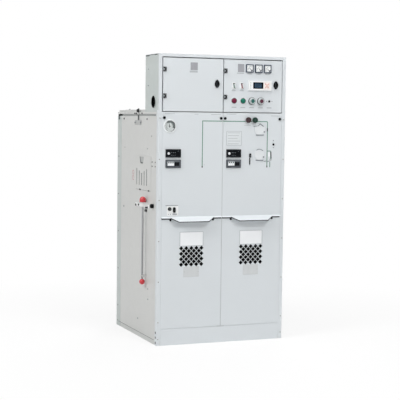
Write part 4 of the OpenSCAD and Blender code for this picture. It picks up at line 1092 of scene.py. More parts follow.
# %% Relay display and keys
lcd_field = finish("display_field", "#30485c", 0.45, (60.0, 0.06), (500.0, 0.02), shine_level=0.2)
key_cream = finish("keypad_cream", "#f0e8e4", 0.5, (50.0, 0.03), (1600.0, 0.08))
key_orange = finish("key_arrow_orange", "#e4ab98", 0.5, (50.0, 0.04), (1600.0, 0.05))
led_dim = finish("unlit_lamp_dot", "#8d9a86", 0.3, (60.0, 0.1), (600.0, 0.05), coat=0.4)
rx, rz, RELAY_W, RELAY_H = spot("protection_relay")
SCREEN_X = rx - 14.0
relay = Piece(FRONT)
relay.frame(rounded(69.6, 39.6, 4), rounded(48.0, 26.0, 2), (5.0, 7.2), window_black,
            (SCREEN_X, rz))
relay.plate(rounded(48.0, 26.0, 2), (5.0, 6.2), lcd_field, (SCREEN_X, rz))
for row in range(3):
    relay.plate(rounded(38.0 - 8 * row, 2.0), (6.1, 6.3), window_black,
                (SCREEN_X - 4 * row, rz + 7 - 7 * row))
KEYS_X = rx + 45.0
relay.plate(rounded(44.0, 48.0, 3), (7.9, 8.4), key_cream, (KEYS_X, rz))
for turn in (45.0, 135.0, 225.0, 315.0):
    a = math.radians(turn)
    at = (KEYS_X + 13.0 * math.cos(a), rz + 14.0 * math.sin(a))
    relay.plate(rounded(16.0, 9.0, 2.4), (8.3, 9.4), key_cream, at, turn, 0.5)
    relay.plate([(7.0, 0.0), (1.0, 3.2), (-7.0, 3.2), (-7.0, -3.2), (1.0, -3.2)], (9.3, 9.6),
                key_orange, at, turn)
relay.turned([(4.0, 8.3), (4.0, 9.4), (3.2, 9.9)], key_orange, (KEYS_X, rz), 20)
for k in range(5):
    relay.turned([(1.9, 7.9), (1.9, 8.6), (1.0, 9.0)], led_dim, (rx - 66.0, rz + 18 - 9 * k), 14)
relay.frame(rounded(RELAY_W - 2, RELAY_H - 2, 3), rounded(RELAY_W - 4.4, RELAY_H - 4.4, 2),
            (7.9, 8.25), card_grey, (rx, rz))
relay.done("relay_display_and_keys", METER_BODY)

# %% [markdown]
# A trip link is a slim bar that closes a circuit when it is swung up to its upper contact. The
# solid model has a plain block for each, so this piece stands in for it: a white base, two
# contacts, and a bent bar with a dark knob that leans to its upper contact.

# %% Link handles
link_green = finish("link_handle_green", "#4a6f61", 0.4, (60.0, 0.08), (1600.0, 0.1))
link_red = finish("link_handle_red", "#7a2a33", 0.4, (60.0, 0.08), (1600.0, 0.1))
LINK_W, LINK_TILT = 20.0, 10.0
lx, lz, links_w, LINK_H = spot("trip_links")
LINK_XS = (lx - (links_w - LINK_W) / 2, lx + (links_w - LINK_W) / 2)
c, s = math.cos(math.radians(LINK_TILT)), math.sin(math.radians(LINK_TILT))
links = Piece(FRONT)
for x, paint in zip(LINK_XS, (link_green, link_red)):
    links.plate(rounded(LINK_W, LINK_H, 2), (0.0, 6.0), pale_plastic, (x, lz), 0.0, 0.8)
    links.plate(rounded(4.6, LINK_H - 9.0, 2.2), (6.0, 11.5), paint, (x - 1.0, lz), LINK_TILT, 1.0)
    links.plate(rounded(8.0, 4.4, 2.0), (6.0, 10.5), paint, (x + 5.4, lz - 14.5), -25.0, 1.0)
    links.turned([(3.4, 5.9), (3.4, 13.4), (2.6, 14.2), (0, 14.4)], black_plastic,
                 (x - s * 13.0 - 1.0, lz + c * 13.0), 20)
    for u, v in ((6.0, 14.0), (-6.0, -14.0)):
        links.turned([(2.2, 5.9), (2.2, 7.0), (1.4, 7.4)], zinc_steel, (x + u, lz + v), 14)
trip_links = links.done("trip_link_bars", METER_BODY)
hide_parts("trip_links")

# %% [markdown]
# The lamps sit in chromed collars and their lenses are ringed, which spreads the light of a small
# bulb. Each ring is a flat frame sunk in the lens, a little further out towards the middle, so
# the dome looks cut in steps.

# %% Lamp collars and lens rings
DOOR_DEVICES = ("red_lamp", "green_lamp", "green_door_button", "red_door_button")
trim = Piece(FRONT)
for node in ("red_lamp", "green_lamp"):
    x, z, w, _ = spot(node)
    trim.frame(disc(w / 2 + 2.4, 48), disc(w / 2 - 0.6, 48), (0.0, 3.2), bright_steel, (x, z))
    trim.frame(disc(w / 2 - 0.4, 48), disc(w / 2 - 2.2, 48), (4.9, 5.7), black_zinc, (x, z))
trim.done("lamp_collars", METER_BODY)
for node, glass in (("red_lamp", lamp_red), ("green_lamp", lamp_green)):
    x, z, w, _ = spot(node)
    rings = Piece(FRONT)
    for r, out in ((12.6, 7.6), (9.4, 9.7), (6.2, 11.1), (3.0, 11.9)):
        rings.frame(disc(r, 36), disc(r - 1.0, 36), (out - 1.4, out + 0.35), glass, (x, z))
    rings.done(f"{node}_lens_rings", METER_BODY)

# %% [markdown]
# The buttons have bright bezels in a dark rubber collar. The collar shows only as a black crescent
# on the left of each bezel, and that crescent is painted shade for the bezel's shaded side. Each
# cap has a satin rim of its own that is pressed in with it. A small keyed socket with two screws
# sits beside them, at the same pitch.

# %% Button collars and cap rims
bx, bz, bezels_w, BEZEL_D = spot("button_bezels")
BUTTON_PITCH = bezels_w - BEZEL_D
DOT_X = bx + BUTTON_PITCH / 2 + BUTTON_PITCH
RIM_FROM = 6.6
trim = Piece(FRONT)
# painted shade: the black collar shows as a crescent on the shaded left of each bezel
for x in (bx - BUTTON_PITCH / 2, bx + BUTTON_PITCH / 2):
    trim.frame(disc(BEZEL_D / 2 + 1.8, 56), disc(BEZEL_D / 2 - 0.2, 56), (0.0, 7.5), black_rubber,
               (x, bz))
trim.turned([(6.8, 0), (6.8, 2.6), (6.0, 3.6), (3.4, 4.4), (0, 4.6)], black_plastic, (DOT_X, bz),
            28)
for x in (DOT_X - 19, DOT_X + 19):
    trim.turned([(2.2, 0), (2.2, 1.2), (1.4, 1.6)], black_zinc, (x, bz), 14)
trim.done("button_trim", METER_BODY)
for name, node in (("green_button", "green_door_button"), ("red_button", "red_door_button")):
    x, z, w, _ = spot(node)
    out = (FRONT_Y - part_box(node)[0].y) / MM
    dish = Piece(FRONT)
    dish.frame(disc(w / 2 + 0.15, 44), disc(w / 2 - 1.8, 44), (out - 1.0, out + 0.7), satin_chrome,
               (x, z))
    dish.frame(disc(w / 2 + 0.15, 44), disc(w / 2 - 0.05, 44), (RIM_FROM, out - 0.9), satin_chrome,
               (x, z))
    dish.done(f"{name}_rim", name)

# %% [markdown]
# Strips of engraving stock sit under each device of the door, and they are blank. They are thin
# plates on the door, set out from the middle of the device above.

# %% Blank name strips
strips = Piece(FRONT)
for x in [spot(node)[0] for node in DOOR_DEVICES] + [DOT_X]:
    strips.plate(rounded(32.0, 6.0, 1), (0.0, 0.6), card_grey, (x, bz - 40.5))
for x in METER_XS:
    strips.plate(rounded(30.0, 7.0, 1), (0.0, 0.6), card_grey, (x, mz - 33.0))
for x in LINK_XS:
    strips.plate(rounded(26.0, 6.0, 1), (0.0, 0.6), card_grey, (x, lz - 30.0))
strips.done("blank_name_strips", METER_BODY)

# %% [markdown]
# ## Door fittings and blank tags
# A foamed gasket runs round the inside of each door pan and keeps rain and dust out. Screws hold
# the hinge leaves, and each lock has a keyhole insert. Each of these belongs to one door only.
# The right door also has a painted strip along its lock edge, which narrows the gap to the frame.

# %% Gaskets, hinge screws and lock inserts
LOCK_Z, KEYHOLE_DROP, LEAF_HALF = 1608.5, 14.0, 14.0
for side in ("left", "right"):
    x, z, w, h = spot(f"{side}_door")
    gasket = Piece(FRONT)
    gasket.frame(rounded(w - 14, h - 14, 8), rounded(w - 38, h - 38, 5),
                 (-SHEET - 7, -SHEET + 0.05), black_rubber, (x, z))
    gasket.done(f"{side}_door_gasket", f"{side}_door_swing")

    lock_x = spot(f"{side}_door_lock")[0]
    keyhole = (lock_x, LOCK_Z - KEYHOLE_DROP)
    insert = Piece(FRONT)
    insert.turned([(5.0, 6.9), (5.0, 7.5), (4.4, 7.9)], black_plastic, keyhole, 24)
    insert.plate(rounded(1.4, 5.0, 0.6), (7.8, 8.1), zinc_steel, keyhole, 12.0)
    insert.plate(rounded(1.6, 40.0, 0.7), (6.9, 7.4), grey_plastic, (lock_x - 4.0, LOCK_Z))
    insert.done(f"{side}_lock_insert", f"{side}_door_swing")

    leaf_low, leaf_high = (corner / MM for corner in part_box(f"{side}_door_leaves"))
    screws = Piece(FRONT)
    for middle in (leaf_low.z + LEAF_HALF, leaf_high.z - LEAF_HALF):
        for dz in (-9.0, 9.0):
            screws.turned([(2.6, 3.9), (2.6, 4.6), (1.8, 5.2)], zinc_steel,
                          (leaf_high.x - 5.0, middle + dz), 16)
    screws.done(f"{side}_hinge_screws", f"{side}_door_swing")
x, z, w, h = spot("right_door")
EDGE_W = 2.4
edge_strip = Piece(FRONT)
edge_strip.plate(rounded(EDGE_W, h - 4.0), (-9.0, -0.3), front_paint,
                 (x + (w + EDGE_W) / 2 - 0.1, z))
edge_strip.done("right_door_edge_strip", METER_BODY)

# %% [markdown]
# Each door has one small satin tag, held by four pins, with a strip below it. Both are blank. The
# tag rides on its door, so it needs one piece for each side.

# %% Blank plates on the doors
tag_grey = finish("blank_tag_metal", "#9b9ca1", 0.5, (90.0, 0.1), (400.0, 0.1), (1, 1, 0.1),
                  metal=0.2)
PIN_INSET = 3.5
for side, x, z, w, h, strip in (("left", -196.0, 1712.0, 47.0, 46.0, 11.0),
                                ("right", 116.0, 1710.0, 42.0, 50.0, 6.0)):
    tag = Piece(FRONT)
    tag.plate(rounded(w, h, 2), (0.0, 0.7), tag_grey, (x, z), 0.0, 0.2)
    tag.plate(rounded(w + 5, strip, 1), (0.0, 0.5), card_grey, (x - 3, z - h / 2 - 4 - strip / 2))
    for u, v in ((1, 1), (-1, 1), (1, -1), (-1, -1)):
        tag.turned([(1.5, 0.6), (1.5, 1.0), (0.8, 1.3)], zinc_steel,
                   (x + u * (w / 2 - PIN_INSET), z + v * (h / 2 - PIN_INSET)), 12)
    tag.done(f"{side}_door_blank_tag", f"{side}_door_swing")

# %% [markdown]
# ## Blank plates on the cable covers
# The covers carry two blank plates each: a white card in a slim grey holder above the vents and a
# small satin metal plate below them, held by two rivets.

# %% Cover plates
CARD_Z, METAL_Z, COVER_RIVET_R = 654.5, 451.0, 2.6
plate_metal = finish("satin_plate_metal", "#c9cccd", 0.42, (40.0, 0.06), (260.0, 0.12),
                     (1, 1, 0.04), 0.7)
for side in ("left", "right"):
    x = spot(f"{side}_cable_cover")[0]
    plates = Piece(FRONT)
    plates.frame(rounded(156.0, 89.0, 3), rounded(150.0, 83.0, 2), (0.0, 1.4), card_grey,
                 (x, CARD_Z))
    plates.plate(rounded(150.0, 83.0, 2), (0.0, 0.7), card_white, (x, CARD_Z))
    plates.plate(rounded(103.0, 64.0, 3), (0.0, 1.0), plate_metal, (x, METAL_Z), 0.0, 0.3)
    for u in (-45.0, 45.0):
        rivet(plates, (x + u, METAL_Z), COVER_RIVET_R)
    plates.done(f"{side}_cover_plates")

# %% [markdown]
# Each square vent hole has a thin black rim, such as a press-in edge strip leaves. The holes
# stand on their corners in rows of five and four, so an outline of four points and two loops are
# enough.

# %% Vent rims
HOLE_PITCH, HOLE_SIDE, RIM_SIDE, FIELD_DROP = 33.4, 19.4, 20.2, 231.0
vent_black = finish("vent_rim_black", "#060708", 0.7, (60.0, 0.1), (1500.0, 0.2), shine_level=0.03)
outer, inner = ([(h, 0), (0, h), (-h, 0), (0, -h)]
                for h in (RIM_SIDE / 2 ** 0.5, HOLE_SIDE / 2 ** 0.5))
for side in ("left", "right"):
    x = spot(f"{side}_cable_cover")[0]
    middle_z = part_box(f"{side}_cable_cover")[1].z / MM - FIELD_DROP
    rims = Piece(FRONT)
    for row in range(7):
        count = 5 - row % 2
        for k in range(count):
            at = (x + (k - (count - 1) / 2) * HOLE_PITCH, middle_z + (row - 3) * HOLE_PITCH / 2)
            rims.frame(outer, inner, (0.0, 0.5), vent_black, at)
    rims.done(f"{side}_vent_rims")

# %% [markdown]
# ## Shaded openings of the side vent plate
# The slots and the hand hole of the vent plate open into the closed body, where little light
# comes back. A thin grey sheet behind each opening gives that shade, and it is darker where the
# edge of the hole hides it from the sky. Each lies inside the opening's own edges, so the painted
# plate still casts its thin edge over it.

# %% Vent openings
hole_shade = finish("vent_inside_grey", "#b7b9b8", 0.8, (30.0, 0.08), (900.0, 0.1), shine_level=0.1)
vent_low, vent_high = (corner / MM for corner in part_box("side_vent_plate"))
SLOT_RISE, SLOT_FIELD, SLOT_MARGIN, SLOT_W, SLOT_H = 31.0, 190.0, 20.0, 12.0, 77.0
HOLE_TOP_HALF, HOLE_FOOT_HALF, HOLE_H, HOLE_DROP, CLEAR = 42.0, 24.0, 43.0, 6.0, 0.2
top_half, foot_half = HOLE_TOP_HALF - CLEAR, HOLE_FOOT_HALF - CLEAR
hole_foot = -HOLE_H + CLEAR
front_mm = FRONT_Y / MM
field_back = vent_high.y - SLOT_MARGIN - SLOT_FIELD / 2 - front_mm
hole_at = (-field_back, vent_high.z - HOLE_DROP)
openings = Piece(LEFT)
for k in range(5):
    tall = SLOT_H + 14.0 * abs(k - 2)
    openings.plate(rounded(SLOT_W - 0.3, tall - 0.3), (0.02, 0.5), slot_shade,
                   (-(field_back + (k / 4 - 0.5) * SLOT_FIELD), vent_low.z + SLOT_RISE + tall / 2))
openings.plate([(top_half, -CLEAR), (-top_half, -CLEAR), (-foot_half, hole_foot),
                (foot_half, hole_foot)], (0.02, 0.5), hole_shade, hole_at)
openings.plate([(-35, -CLEAR), (-top_half, -CLEAR), (-foot_half, hole_foot), (-8, hole_foot)],
               (0.4, 0.7), slot_shade, hole_at)
openings.plate([(foot_half, -36), (-foot_half, -36), (-foot_half + 2, hole_foot),
                (foot_half - 2, hole_foot)], (0.4, 0.7), slot_shade, hole_at)
openings.done("vent_plate_openings")

# %% [markdown]
# The vent plate hangs on two black clips at its foot, over a thin zinc strip. Beside it, towards
# the rear, two pink rings are printed on the side panel. They are flat frames, as thin as the
# films on the front.

# %% Vent plate clips and ring marks
CLIP_BACKS = (325.0, 159.0)
RING_BACK, RING_ZS = 467.0, (1045.0, 1011.0)
feet = Piece(LEFT)
for back in CLIP_BACKS:
    feet.plate(rounded(26.0, 9.0, 2), (2.0, 4.0), black_zinc, (-back, vent_low.z + 3.0), 0.0, 0.5)
feet.plate(rounded(vent_high.y - vent_low.y - 20, 2.4), (2.0, 2.6), zinc_steel,
           (-(vent_high.y + vent_low.y) / 2 + front_mm, vent_low.z + 2.0))
feet.done("vent_plate_clips")
ring_pink = finish("ring_mark_ink", "#bd7c83", 0.55, (60.0, 0.06), (1800.0, 0.05))
marks = Piece(LEFT)
for z in RING_ZS:
    marks.frame(disc(15.5, 40), disc(12.0, 40), FILM, ring_pink, (-RING_BACK, z))
marks.done("side_ring_marks")

# %% [markdown]
# Cables enter the instrument box through a rubber grommet. A black lining covers the cut edge of
# its bore, and the gland lower down is closed by a domed cap. Both are turned about the middle of
# their solid, which is read from its box.

# %% Grommet lining and gland cap
def on_left(node):
    """How far a node stands out from the left face, and its middle on that face."""
    low, high = (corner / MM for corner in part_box(node))
    return LEFT_X / MM - low.x, (-(low.y + high.y) / 2 + front_mm, (low.z + high.z) / 2)


LINING_R, BORE_R = 36.6, 26.6
reach, middle = on_left("cable_grommet")
lining = Piece(LEFT)
lining.frame(disc(LINING_R, 64), disc(BORE_R, 64), (reach - 0.2, reach + 0.5), vent_black, middle)
lining.frame(disc(BORE_R + 0.6, 64), disc(BORE_R, 64), (-7.0, reach), vent_black, middle)
lining.done("grommet_lining")
reach, middle = on_left("side_gland")
cap = Piece(LEFT)
cap.turned([(13.5, reach - 8), (13.5, reach - 1), (11.5, reach + 2), (6.5, reach + 4),
            (0, reach + 4.4)], black_plastic, middle, 28)
cap.done("side_gland_cap")

# %% [markdown]
# ## Small things on the body
# Rubber buffers under the hand tongues stop the panels from rattling, and their black also paints
# the deep shade in the corners under each tongue root. Two black rubber strips close the slit
# between each panel and its cover; they are painted shade for that slit and for the shadow line
# just under the lip. The tongue itself has a rubber edge, kind to the fingers, whose black paints
# the thin shadow line along it. The edge lies on the slanted tongue, so it gets a face of its own.
# A painted sill fills the slit at the foot of the cover.

# %% Buffers, tongue edges and sills
LIP_ANGLE, LIP_EDGE, TONGUE, ROOT, TIP = math.radians(57.0), 14.0, 53.0, 141.0, 98.0
FOLD_RISE, BUFFER_Z = 15.0, 771.5
fold_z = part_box("left_cable_cover")[1].z + FOLD_RISE * MM
LIP = face((1, 0, 0), (0, -math.sin(LIP_ANGLE), -math.cos(LIP_ANGLE)),
           (0, math.cos(LIP_ANGLE), -math.sin(LIP_ANGLE)), (0, FRONT_Y, fold_z))
for side in ("left", "right"):
    x = spot(f"{side}_mechanism_panel")[0]
    buffers = Piece(FRONT)
    # black buffers, whose black also paints the shade in the corners under the tongue
    for u in (-ROOT, ROOT):
        buffers.turned([(6.0, 0), (6.0, 5.0), (5.0, 6.4), (3.0, 7.0)], black_rubber,
                       (x + u, BUFFER_Z), 24)
    # painted shade: dark strips for the slit under the panel and the shadow line below the lip
    for low, high, out in ((777.8, 785.8, -0.6), (776.6, 779.0, 1.0)):
        buffers.plate(rounded(394.0, high - low, 1), (-2.2, out), black_rubber,
                      (x, (low + high) / 2))
    buffers.done(f"{side}_lip_buffers_and_shade")
    # painted shadow: a black edge along the tongue's lower edge
    shadow_edging = Piece(LIP)
    for start, end in (((x - TIP, TONGUE), (x + TIP, TONGUE)),
                       ((x - ROOT, LIP_EDGE), (x - TIP, TONGUE)),
                       ((x + TIP, TONGUE), (x + ROOT, LIP_EDGE))):
        stroke(shadow_edging, start, end, 2.6, black_rubber, (-1.0, SHEET + 1.0))
    shadow_edging.done(f"{side}_tongue_edging")
    sill = Piece(FRONT)
    cover_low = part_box(f"{side}_cable_cover")[0].z / MM
    sill.plate(rounded(392.0, 16.0, 1), (-7.0, -2.4), front_paint, (x, cover_low - 1.0), 0.0, 0.5)
    sill.done(f"{side}_cover_sill")

# %% [markdown]
# Three tapped holes low on the left post show where the earth bar goes. A black disc on the paint
# is painted shade for the inside of each bore; with a bright ring round it, it reads as a threaded
# bore, and the post stays uncut.

# %% Tapped holes
EARTH_BACK, EARTH_ZS = 15.0, (18.0, 50.0, 80.0)
holes = Piece(LEFT)
for z in EARTH_ZS:
    holes.frame(disc(8.0, 24), disc(6.4, 24), (0.0, 0.5), zinc_steel, (-EARTH_BACK, z))
    # painted shade: a black disc for the inside of the bore
    holes.turned([(6.5, 0.0), (6.5, 0.25)], black_rubber, (-EARTH_BACK, z), 24)
holes.done("earth_bar_holes")

# %% [markdown]
# ## Inside the instrument box
# Opening the doors shows what the box is for: a galvanised mounting plate on the back wall with
# two hat rails, small breakers, terminal blocks and slotted wiring ducts. It is all repetition,
# so each kind of device is one small function, and loops set them side by side on their rails. A
# new face on the back wall lets the same drawing tools work in there.

# %% Back wall and its finishes
rail_zinc = finish("hat_rail_zinc", "#b9bcbb", 0.36, (50.0, 0.1), (500.0, 0.1), (0.05, 1, 1),
                   metal=0.7)
duct_grey = finish("duct_grey", "#a7abad", 0.5, (40.0, 0.04), (1500.0, 0.1))
device_white = finish("breaker_case", "#dfe2e2", 0.45, (40.0, 0.03), (1800.0, 0.1))
clamp_grey = finish("terminal_grey", "#8d9295", 0.5, (60.0, 0.06), (1800.0, 0.12))
clamp_blue = finish("terminal_blue", "#34588f", 0.5, (60.0, 0.06), (1800.0, 0.12))
clamp_earth = finish("terminal_earth", "#7f9a33", 0.5, (60.0, 0.1), (1800.0, 0.12))
BACK_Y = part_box("lv_back")[0].y
floor_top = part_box("lv_floor")[1].z / MM
INSIDE = face((1, 0, 0), (0, 0, 1), (0, -1, 0), (0, BACK_Y, 0))
PLATE_OUT, PLATE_T = 8.0, 2.0
RAIL_OUT = PLATE_OUT + PLATE_T
RAIL_ZS = (1668.0, 1540.0)
print("back wall at y =", round(BACK_Y, 4), "floor of the box at", round(floor_top, 1))

# %% [markdown]
# The plate stands off the wall on six short pillars, so that bolts can pass behind it. A hat rail
# is a folded strip, 35 mm wide and 7.5 mm high, that nearly every small device clips on. It is
# drawn as its floor, two walls and two brims.

# %% Mounting plate and hat rails
PLATE_W, PLATE_H, PLATE_Z = 780.0, 270.0, 1606.0
HAT_W, HAT_H, HAT_FLOOR, RAIL_L = 35.0, 7.5, 27.0, 360.0
RAIL_XS = (-200.0, 200.0)
board = Piece(INSIDE)
board.plate(rounded(PLATE_W, PLATE_H, 6), (PLATE_OUT, RAIL_OUT), rail_zinc, (0, PLATE_Z), 0.0, 0.4)
for x in (-PLATE_W / 2 + 20, 0.0, PLATE_W / 2 - 20):
    for z in (PLATE_Z - PLATE_H / 2 + 16, PLATE_Z + PLATE_H / 2 - 16):
        board.turned([(7.0, 0), (7.0, PLATE_OUT)], rail_zinc, (x, z), 18)
        hex_bolt(board, (x, z), 9.0, RAIL_OUT, zinc_steel)
board.done("mounting_plate")

rails = Piece(INSIDE)
for x in RAIL_XS:
    for z in RAIL_ZS:
        rails.plate(rounded(RAIL_L, HAT_FLOOR), (RAIL_OUT, RAIL_OUT + 1.0), rail_zinc, (x, z))
        for sign in (-1, 1):
            rails.plate(rounded(RAIL_L, 1.0), (RAIL_OUT, RAIL_OUT + HAT_H), rail_zinc,
                        (x, z + sign * 13.0))
            rails.plate(rounded(RAIL_L, 5.0), (RAIL_OUT + HAT_H - 1, RAIL_OUT + HAT_H), rail_zinc,
                        (x, z + sign * (HAT_W / 2 - 2.5)))
rails.done("hat_rails")

# %% [markdown]
# A small breaker is about 18 mm wide and has a stepped front: the nose with the toggle stands
# out, and the screw clamps lie back above and below it. A terminal block is a slice of the same
# idea, 6 mm wide.

# %% Breakers and terminal blocks
DEVICE_OUT = RAIL_OUT + HAT_H
BREAKER_PITCH, TERMINAL_PITCH = 18.0, 6.2


def small_breaker(piece, x, z, toggle):
    """One breaker on its rail: case, nose, toggle and two clamps."""
    piece.plate(rounded(17.0, 84.0, 1.5), (DEVICE_OUT - 4, DEVICE_OUT + 38), device_white, (x, z),
                0.0, 0.6)
    piece.plate(rounded(17.0, 45.0, 1.5), (DEVICE_OUT + 37, DEVICE_OUT + 55), device_white, (x, z),
                0.0, 0.8)
    piece.plate(rounded(9.0, 18.0, 2.0), (DEVICE_OUT + 54, DEVICE_OUT + 56), window_black, (x, z))
    piece.plate(rounded(7.0, 8.0, 1.5), (DEVICE_OUT + 55, DEVICE_OUT + 64), toggle, (x, z + 4),
                0.0, 1.0)
    for v in (-33.0, 33.0):
        piece.turned([(4.4, DEVICE_OUT + 37), (4.4, DEVICE_OUT + 38.5), (3.0, DEVICE_OUT + 38.7)],
                     zinc_steel, (x, z + v), 16)
        piece.plate(rounded(6.5, 1.2), (DEVICE_OUT + 38.5, DEVICE_OUT + 39.0), black_zinc,
                    (x, z + v), 30)


def terminal_block(piece, x, z, case):
    """One slice of a terminal row: case, nose and two clamps."""
    piece.plate(rounded(5.6, 56.0, 0.8), (DEVICE_OUT - 4, DEVICE_OUT + 26), case, (x, z), 0.0, 0.4)
    piece.plate(rounded(5.6, 26.0, 0.8), (DEVICE_OUT + 25, DEVICE_OUT + 36), case, (x, z), 0.0, 0.4)
    for v in (-20.0, 20.0):
        piece.turned([(2.2, DEVICE_OUT + 25.8), (2.2, DEVICE_OUT + 26.6), (1.4, DEVICE_OUT + 26.7)],
                     zinc_steel, (x, z + v), 12)


breakers = Piece(INSIDE)
for k in range(8):
    small_breaker(breakers, -330.0 + BREAKER_PITCH * k + 24.0 * (k // 3), RAIL_ZS[0],
                  black_plastic if k < 6 else cap_green)
for k in range(4):
    small_breaker(breakers, 90.0 + BREAKER_PITCH * k, RAIL_ZS[0], black_plastic)
breakers.done("small_breakers")

clamps = Piece(INSIDE)
for first, count in ((-350.0, 46), (60.0, 44)):
    for k in range(count):
        case = clamp_earth if k % 15 == 14 else clamp_blue if k % 15 == 7 else clamp_grey
        terminal_block(clamps, first + TERMINAL_PITCH * k, RAIL_ZS[1], case)
    for x in (first - 8.0, first + TERMINAL_PITCH * count + 2.0):
        clamps.plate(rounded(8.0, 48.0, 1.5), (DEVICE_OUT - 4, DEVICE_OUT + 30), clamp_grey,
                     (x, RAIL_ZS[1]), 0.0, 0.8)
clamps.done("terminal_blocks")

# %% [markdown]
# A power supply feeds the instruments, and three plug-in relays pass their signals on. The supply
# is a block with cooling slots and six clamps. Each relay is a coil under a clear cover on a dark
# socket.

# %% Power supply and auxiliary relays
SUPPLY_AT = (268.0, RAIL_ZS[0])
units = Piece(INSIDE)
units.plate(rounded(96.0, 92.0, 3), (DEVICE_OUT - 4, DEVICE_OUT + 62), clamp_grey, SUPPLY_AT, 0.0,
            1.2)
for k in range(9):
    units.plate(rounded(70.0, 3.0, 1.4), (DEVICE_OUT + 61.8, DEVICE_OUT + 62.6), window_black,
                (SUPPLY_AT[0], SUPPLY_AT[1] - 24 + 6 * k))
for k in range(6):
    units.turned([(3.4, DEVICE_OUT + 61.9), (3.4, DEVICE_OUT + 63.0), (2.4, DEVICE_OUT + 63.2)],
                 zinc_steel, (SUPPLY_AT[0] - 35.0 + 14.0 * k, SUPPLY_AT[1] + 37.0), 16)
for k in range(3):
    at = (-112.0 + 32.0 * k, RAIL_ZS[0])
    units.plate(rounded(28.0, 74.0, 2), (DEVICE_OUT - 4, DEVICE_OUT + 22), black_plastic, at, 0.0,
                0.8)
    units.plate(rounded(26.0, 34.0, 2), (DEVICE_OUT + 21, DEVICE_OUT + 60), meter_glass, at, 0.0,
                1.0)
    units.plate(rounded(16.0, 24.0, 2), (DEVICE_OUT + 21, DEVICE_OUT + 48), clamp_blue, at, 0.0,
                1.0)
units.done("supply_and_relays")

# %% [markdown]
# Wiring ducts are open channels with comb-like walls: wires come out between any two teeth. A
# duct here is its floor, two rows of teeth and a snap-on lid.

# %% Slotted ducts
DUCT_W, DUCT_H, DUCT_L, TOOTH, TOOTH_GAP = 36.0, 44.0, 350.0, 8.0, 5.0


def slotted_duct(piece, middle, length, upright):
    """One duct about its middle: floor, lid and two rows of teeth."""
    turn = 90.0 if upright else 0.0
    across = Vector((1, 0)) if upright else Vector((0, 1))
    along = Vector((0, 1)) if upright else Vector((1, 0))
    middle = Vector(middle)
    piece.plate(rounded(length, DUCT_W), (RAIL_OUT, RAIL_OUT + 1.6), duct_grey, middle, turn)
    piece.plate(rounded(length, DUCT_W + 1.0, 1), (RAIL_OUT + DUCT_H - 5, RAIL_OUT + DUCT_H),
                duct_grey, middle, turn, 0.8)
    for k in range(int(length // (TOOTH + TOOTH_GAP))):
        u = -length / 2 + (TOOTH + TOOTH_GAP) * (k + 0.5)
        for sign in (-1, 1):
            piece.plate(rounded(TOOTH, 1.6), (RAIL_OUT + 1, RAIL_OUT + DUCT_H - 4), duct_grey,
                        middle + along * u + across * sign * (DUCT_W / 2 - 0.8), turn)


ducts = Piece(INSIDE)
DUCT_Z = (RAIL_ZS[0] + RAIL_ZS[1]) / 2
for x in RAIL_XS:
    slotted_duct(ducts, (x, DUCT_Z), DUCT_L, False)
    slotted_duct(ducts, (x, PLATE_Z + PLATE_H / 2 - 14), DUCT_L, False)
slotted_duct(ducts, (0.0, PLATE_Z), PLATE_H - 10, True)
ducts.done("wiring_ducts")

# %% [markdown]
# ## Backs of the door instruments
# Behind the right door each instrument shows its case: meters with two studs, the relay with plug
# connectors, lamps and buttons with contact blocks. They are short enough to swing past the
# frame, and they ride on the door.

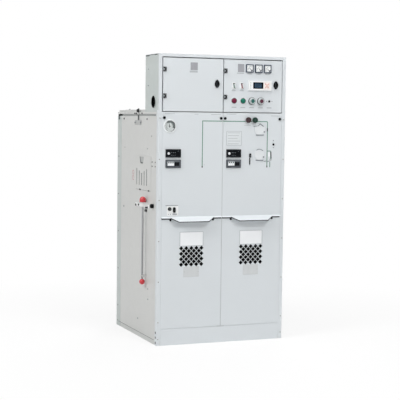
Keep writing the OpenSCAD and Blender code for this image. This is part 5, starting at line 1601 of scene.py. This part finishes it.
# %% Cases behind the right door
BEHIND = face((-1, 0, 0), (0, 0, 1), (0, 1, 0), (0, FRONT_Y + SHEET * MM, 0))
cases = Piece(BEHIND)
for x in METER_XS:
    at = (-x, mz)
    cases.plate(rounded(METER_S - 6, METER_S - 6, 3), (0.0, 34.0), black_plastic, at, 0.0, 1.5)
    for u in (-10.0, 10.0):
        hex_bolt(cases, (at[0] + u, at[1] - 6.0), 7.0, 33.9, plate_metal)
        cases.turned([(2.0, 38.0), (2.0, 46.0), (1.4, 46.6)], plate_metal,
                     (at[0] + u, at[1] - 6.0), 14)
cases.plate(rounded(RELAY_W - 12, RELAY_H - 8, 3), (0.0, 62.0), clamp_grey, (-rx, rz), 0.0, 1.5)
for row in (-16.0, 14.0):
    cases.plate(rounded(RELAY_W - 40, 13.0, 1), (61.8, 72.0), cap_green, (-rx, rz + row), 0.0, 0.8)
    for k in range(12):
        cases.turned([(2.0, 71.8), (2.0, 72.6), (1.2, 72.7)], zinc_steel,
                     (-rx - 49.5 + 9.0 * k, rz + row), 12)
for node in DOOR_DEVICES:
    x, z = spot(node)[:2]
    cases.turned([(14.5, 0.0), (14.5, 5.0), (12.0, 6.0)], zinc_steel, (-x, z), 8)
    cases.turned([(11.0, 4.0), (11.0, 18.0)], black_plastic, (-x, z), 28)
    cases.plate(rounded(29.0, 26.0, 2), (17.0, 44.0), device_white, (-x, z), 0.0, 1.2)
    for u in (-8.0, 8.0):
        cases.turned([(3.0, 43.8), (3.0, 45.0), (2.0, 45.4)], plate_metal, (-x + u, z + 5.0), 14)
for x in LINK_XS:
    for v in (-12.0, 12.0):
        hex_bolt(cases, (-x, lz + v), 8.0, 0.0, plate_metal)
        cases.turned([(2.5, 4.0), (2.5, 20.0), (1.8, 20.8)], plate_metal, (-x, lz + v), 14)
cases.done("door_instrument_backs", METER_BODY)

# %% [markdown]
# Behind each lock a flat cam turns against the frame when the key is turned. The left door
# carries no instruments, so it has a stiffener down its middle and a shallow tray for drawings.

# %% Lock cams and stiffeners behind both doors
for side in ("left", "right"):
    x, z, w, h = spot(f"{side}_door")
    lock_x = spot(f"{side}_door_lock")[0]
    backs = Piece(BEHIND)
    backs.turned([(10.0, 0.0), (10.0, 8.0), (8.0, 9.0)], zinc_steel, (-lock_x, LOCK_Z), 6)
    backs.plate(rounded(34.0, 14.0, 4), (9.0, 12.0), zinc_steel, (-lock_x - 8.0, LOCK_Z), 0.0, 0.5)
    hex_bolt(backs, (-lock_x, LOCK_Z), 8.0, 11.9, black_zinc)
    if side == "left":
        backs.plate(rounded(26.0, h - 60.0, 2), (0.0, 9.0), front_paint, (-x, z), 0.0, 1.2)
        tray_at = (-x - 90.0, z - 40.0)
        backs.plate(rounded(150.0, 110.0, 4), (0.0, 1.0), clamp_grey, tray_at, 0.0, 0.3)
        backs.frame(rounded(150.0, 110.0, 4), rounded(142.0, 102.0, 3), (0.9, 16.0), clamp_grey,
                    tray_at)
    backs.done(f"{side}_door_backs", f"{side}_door_swing")
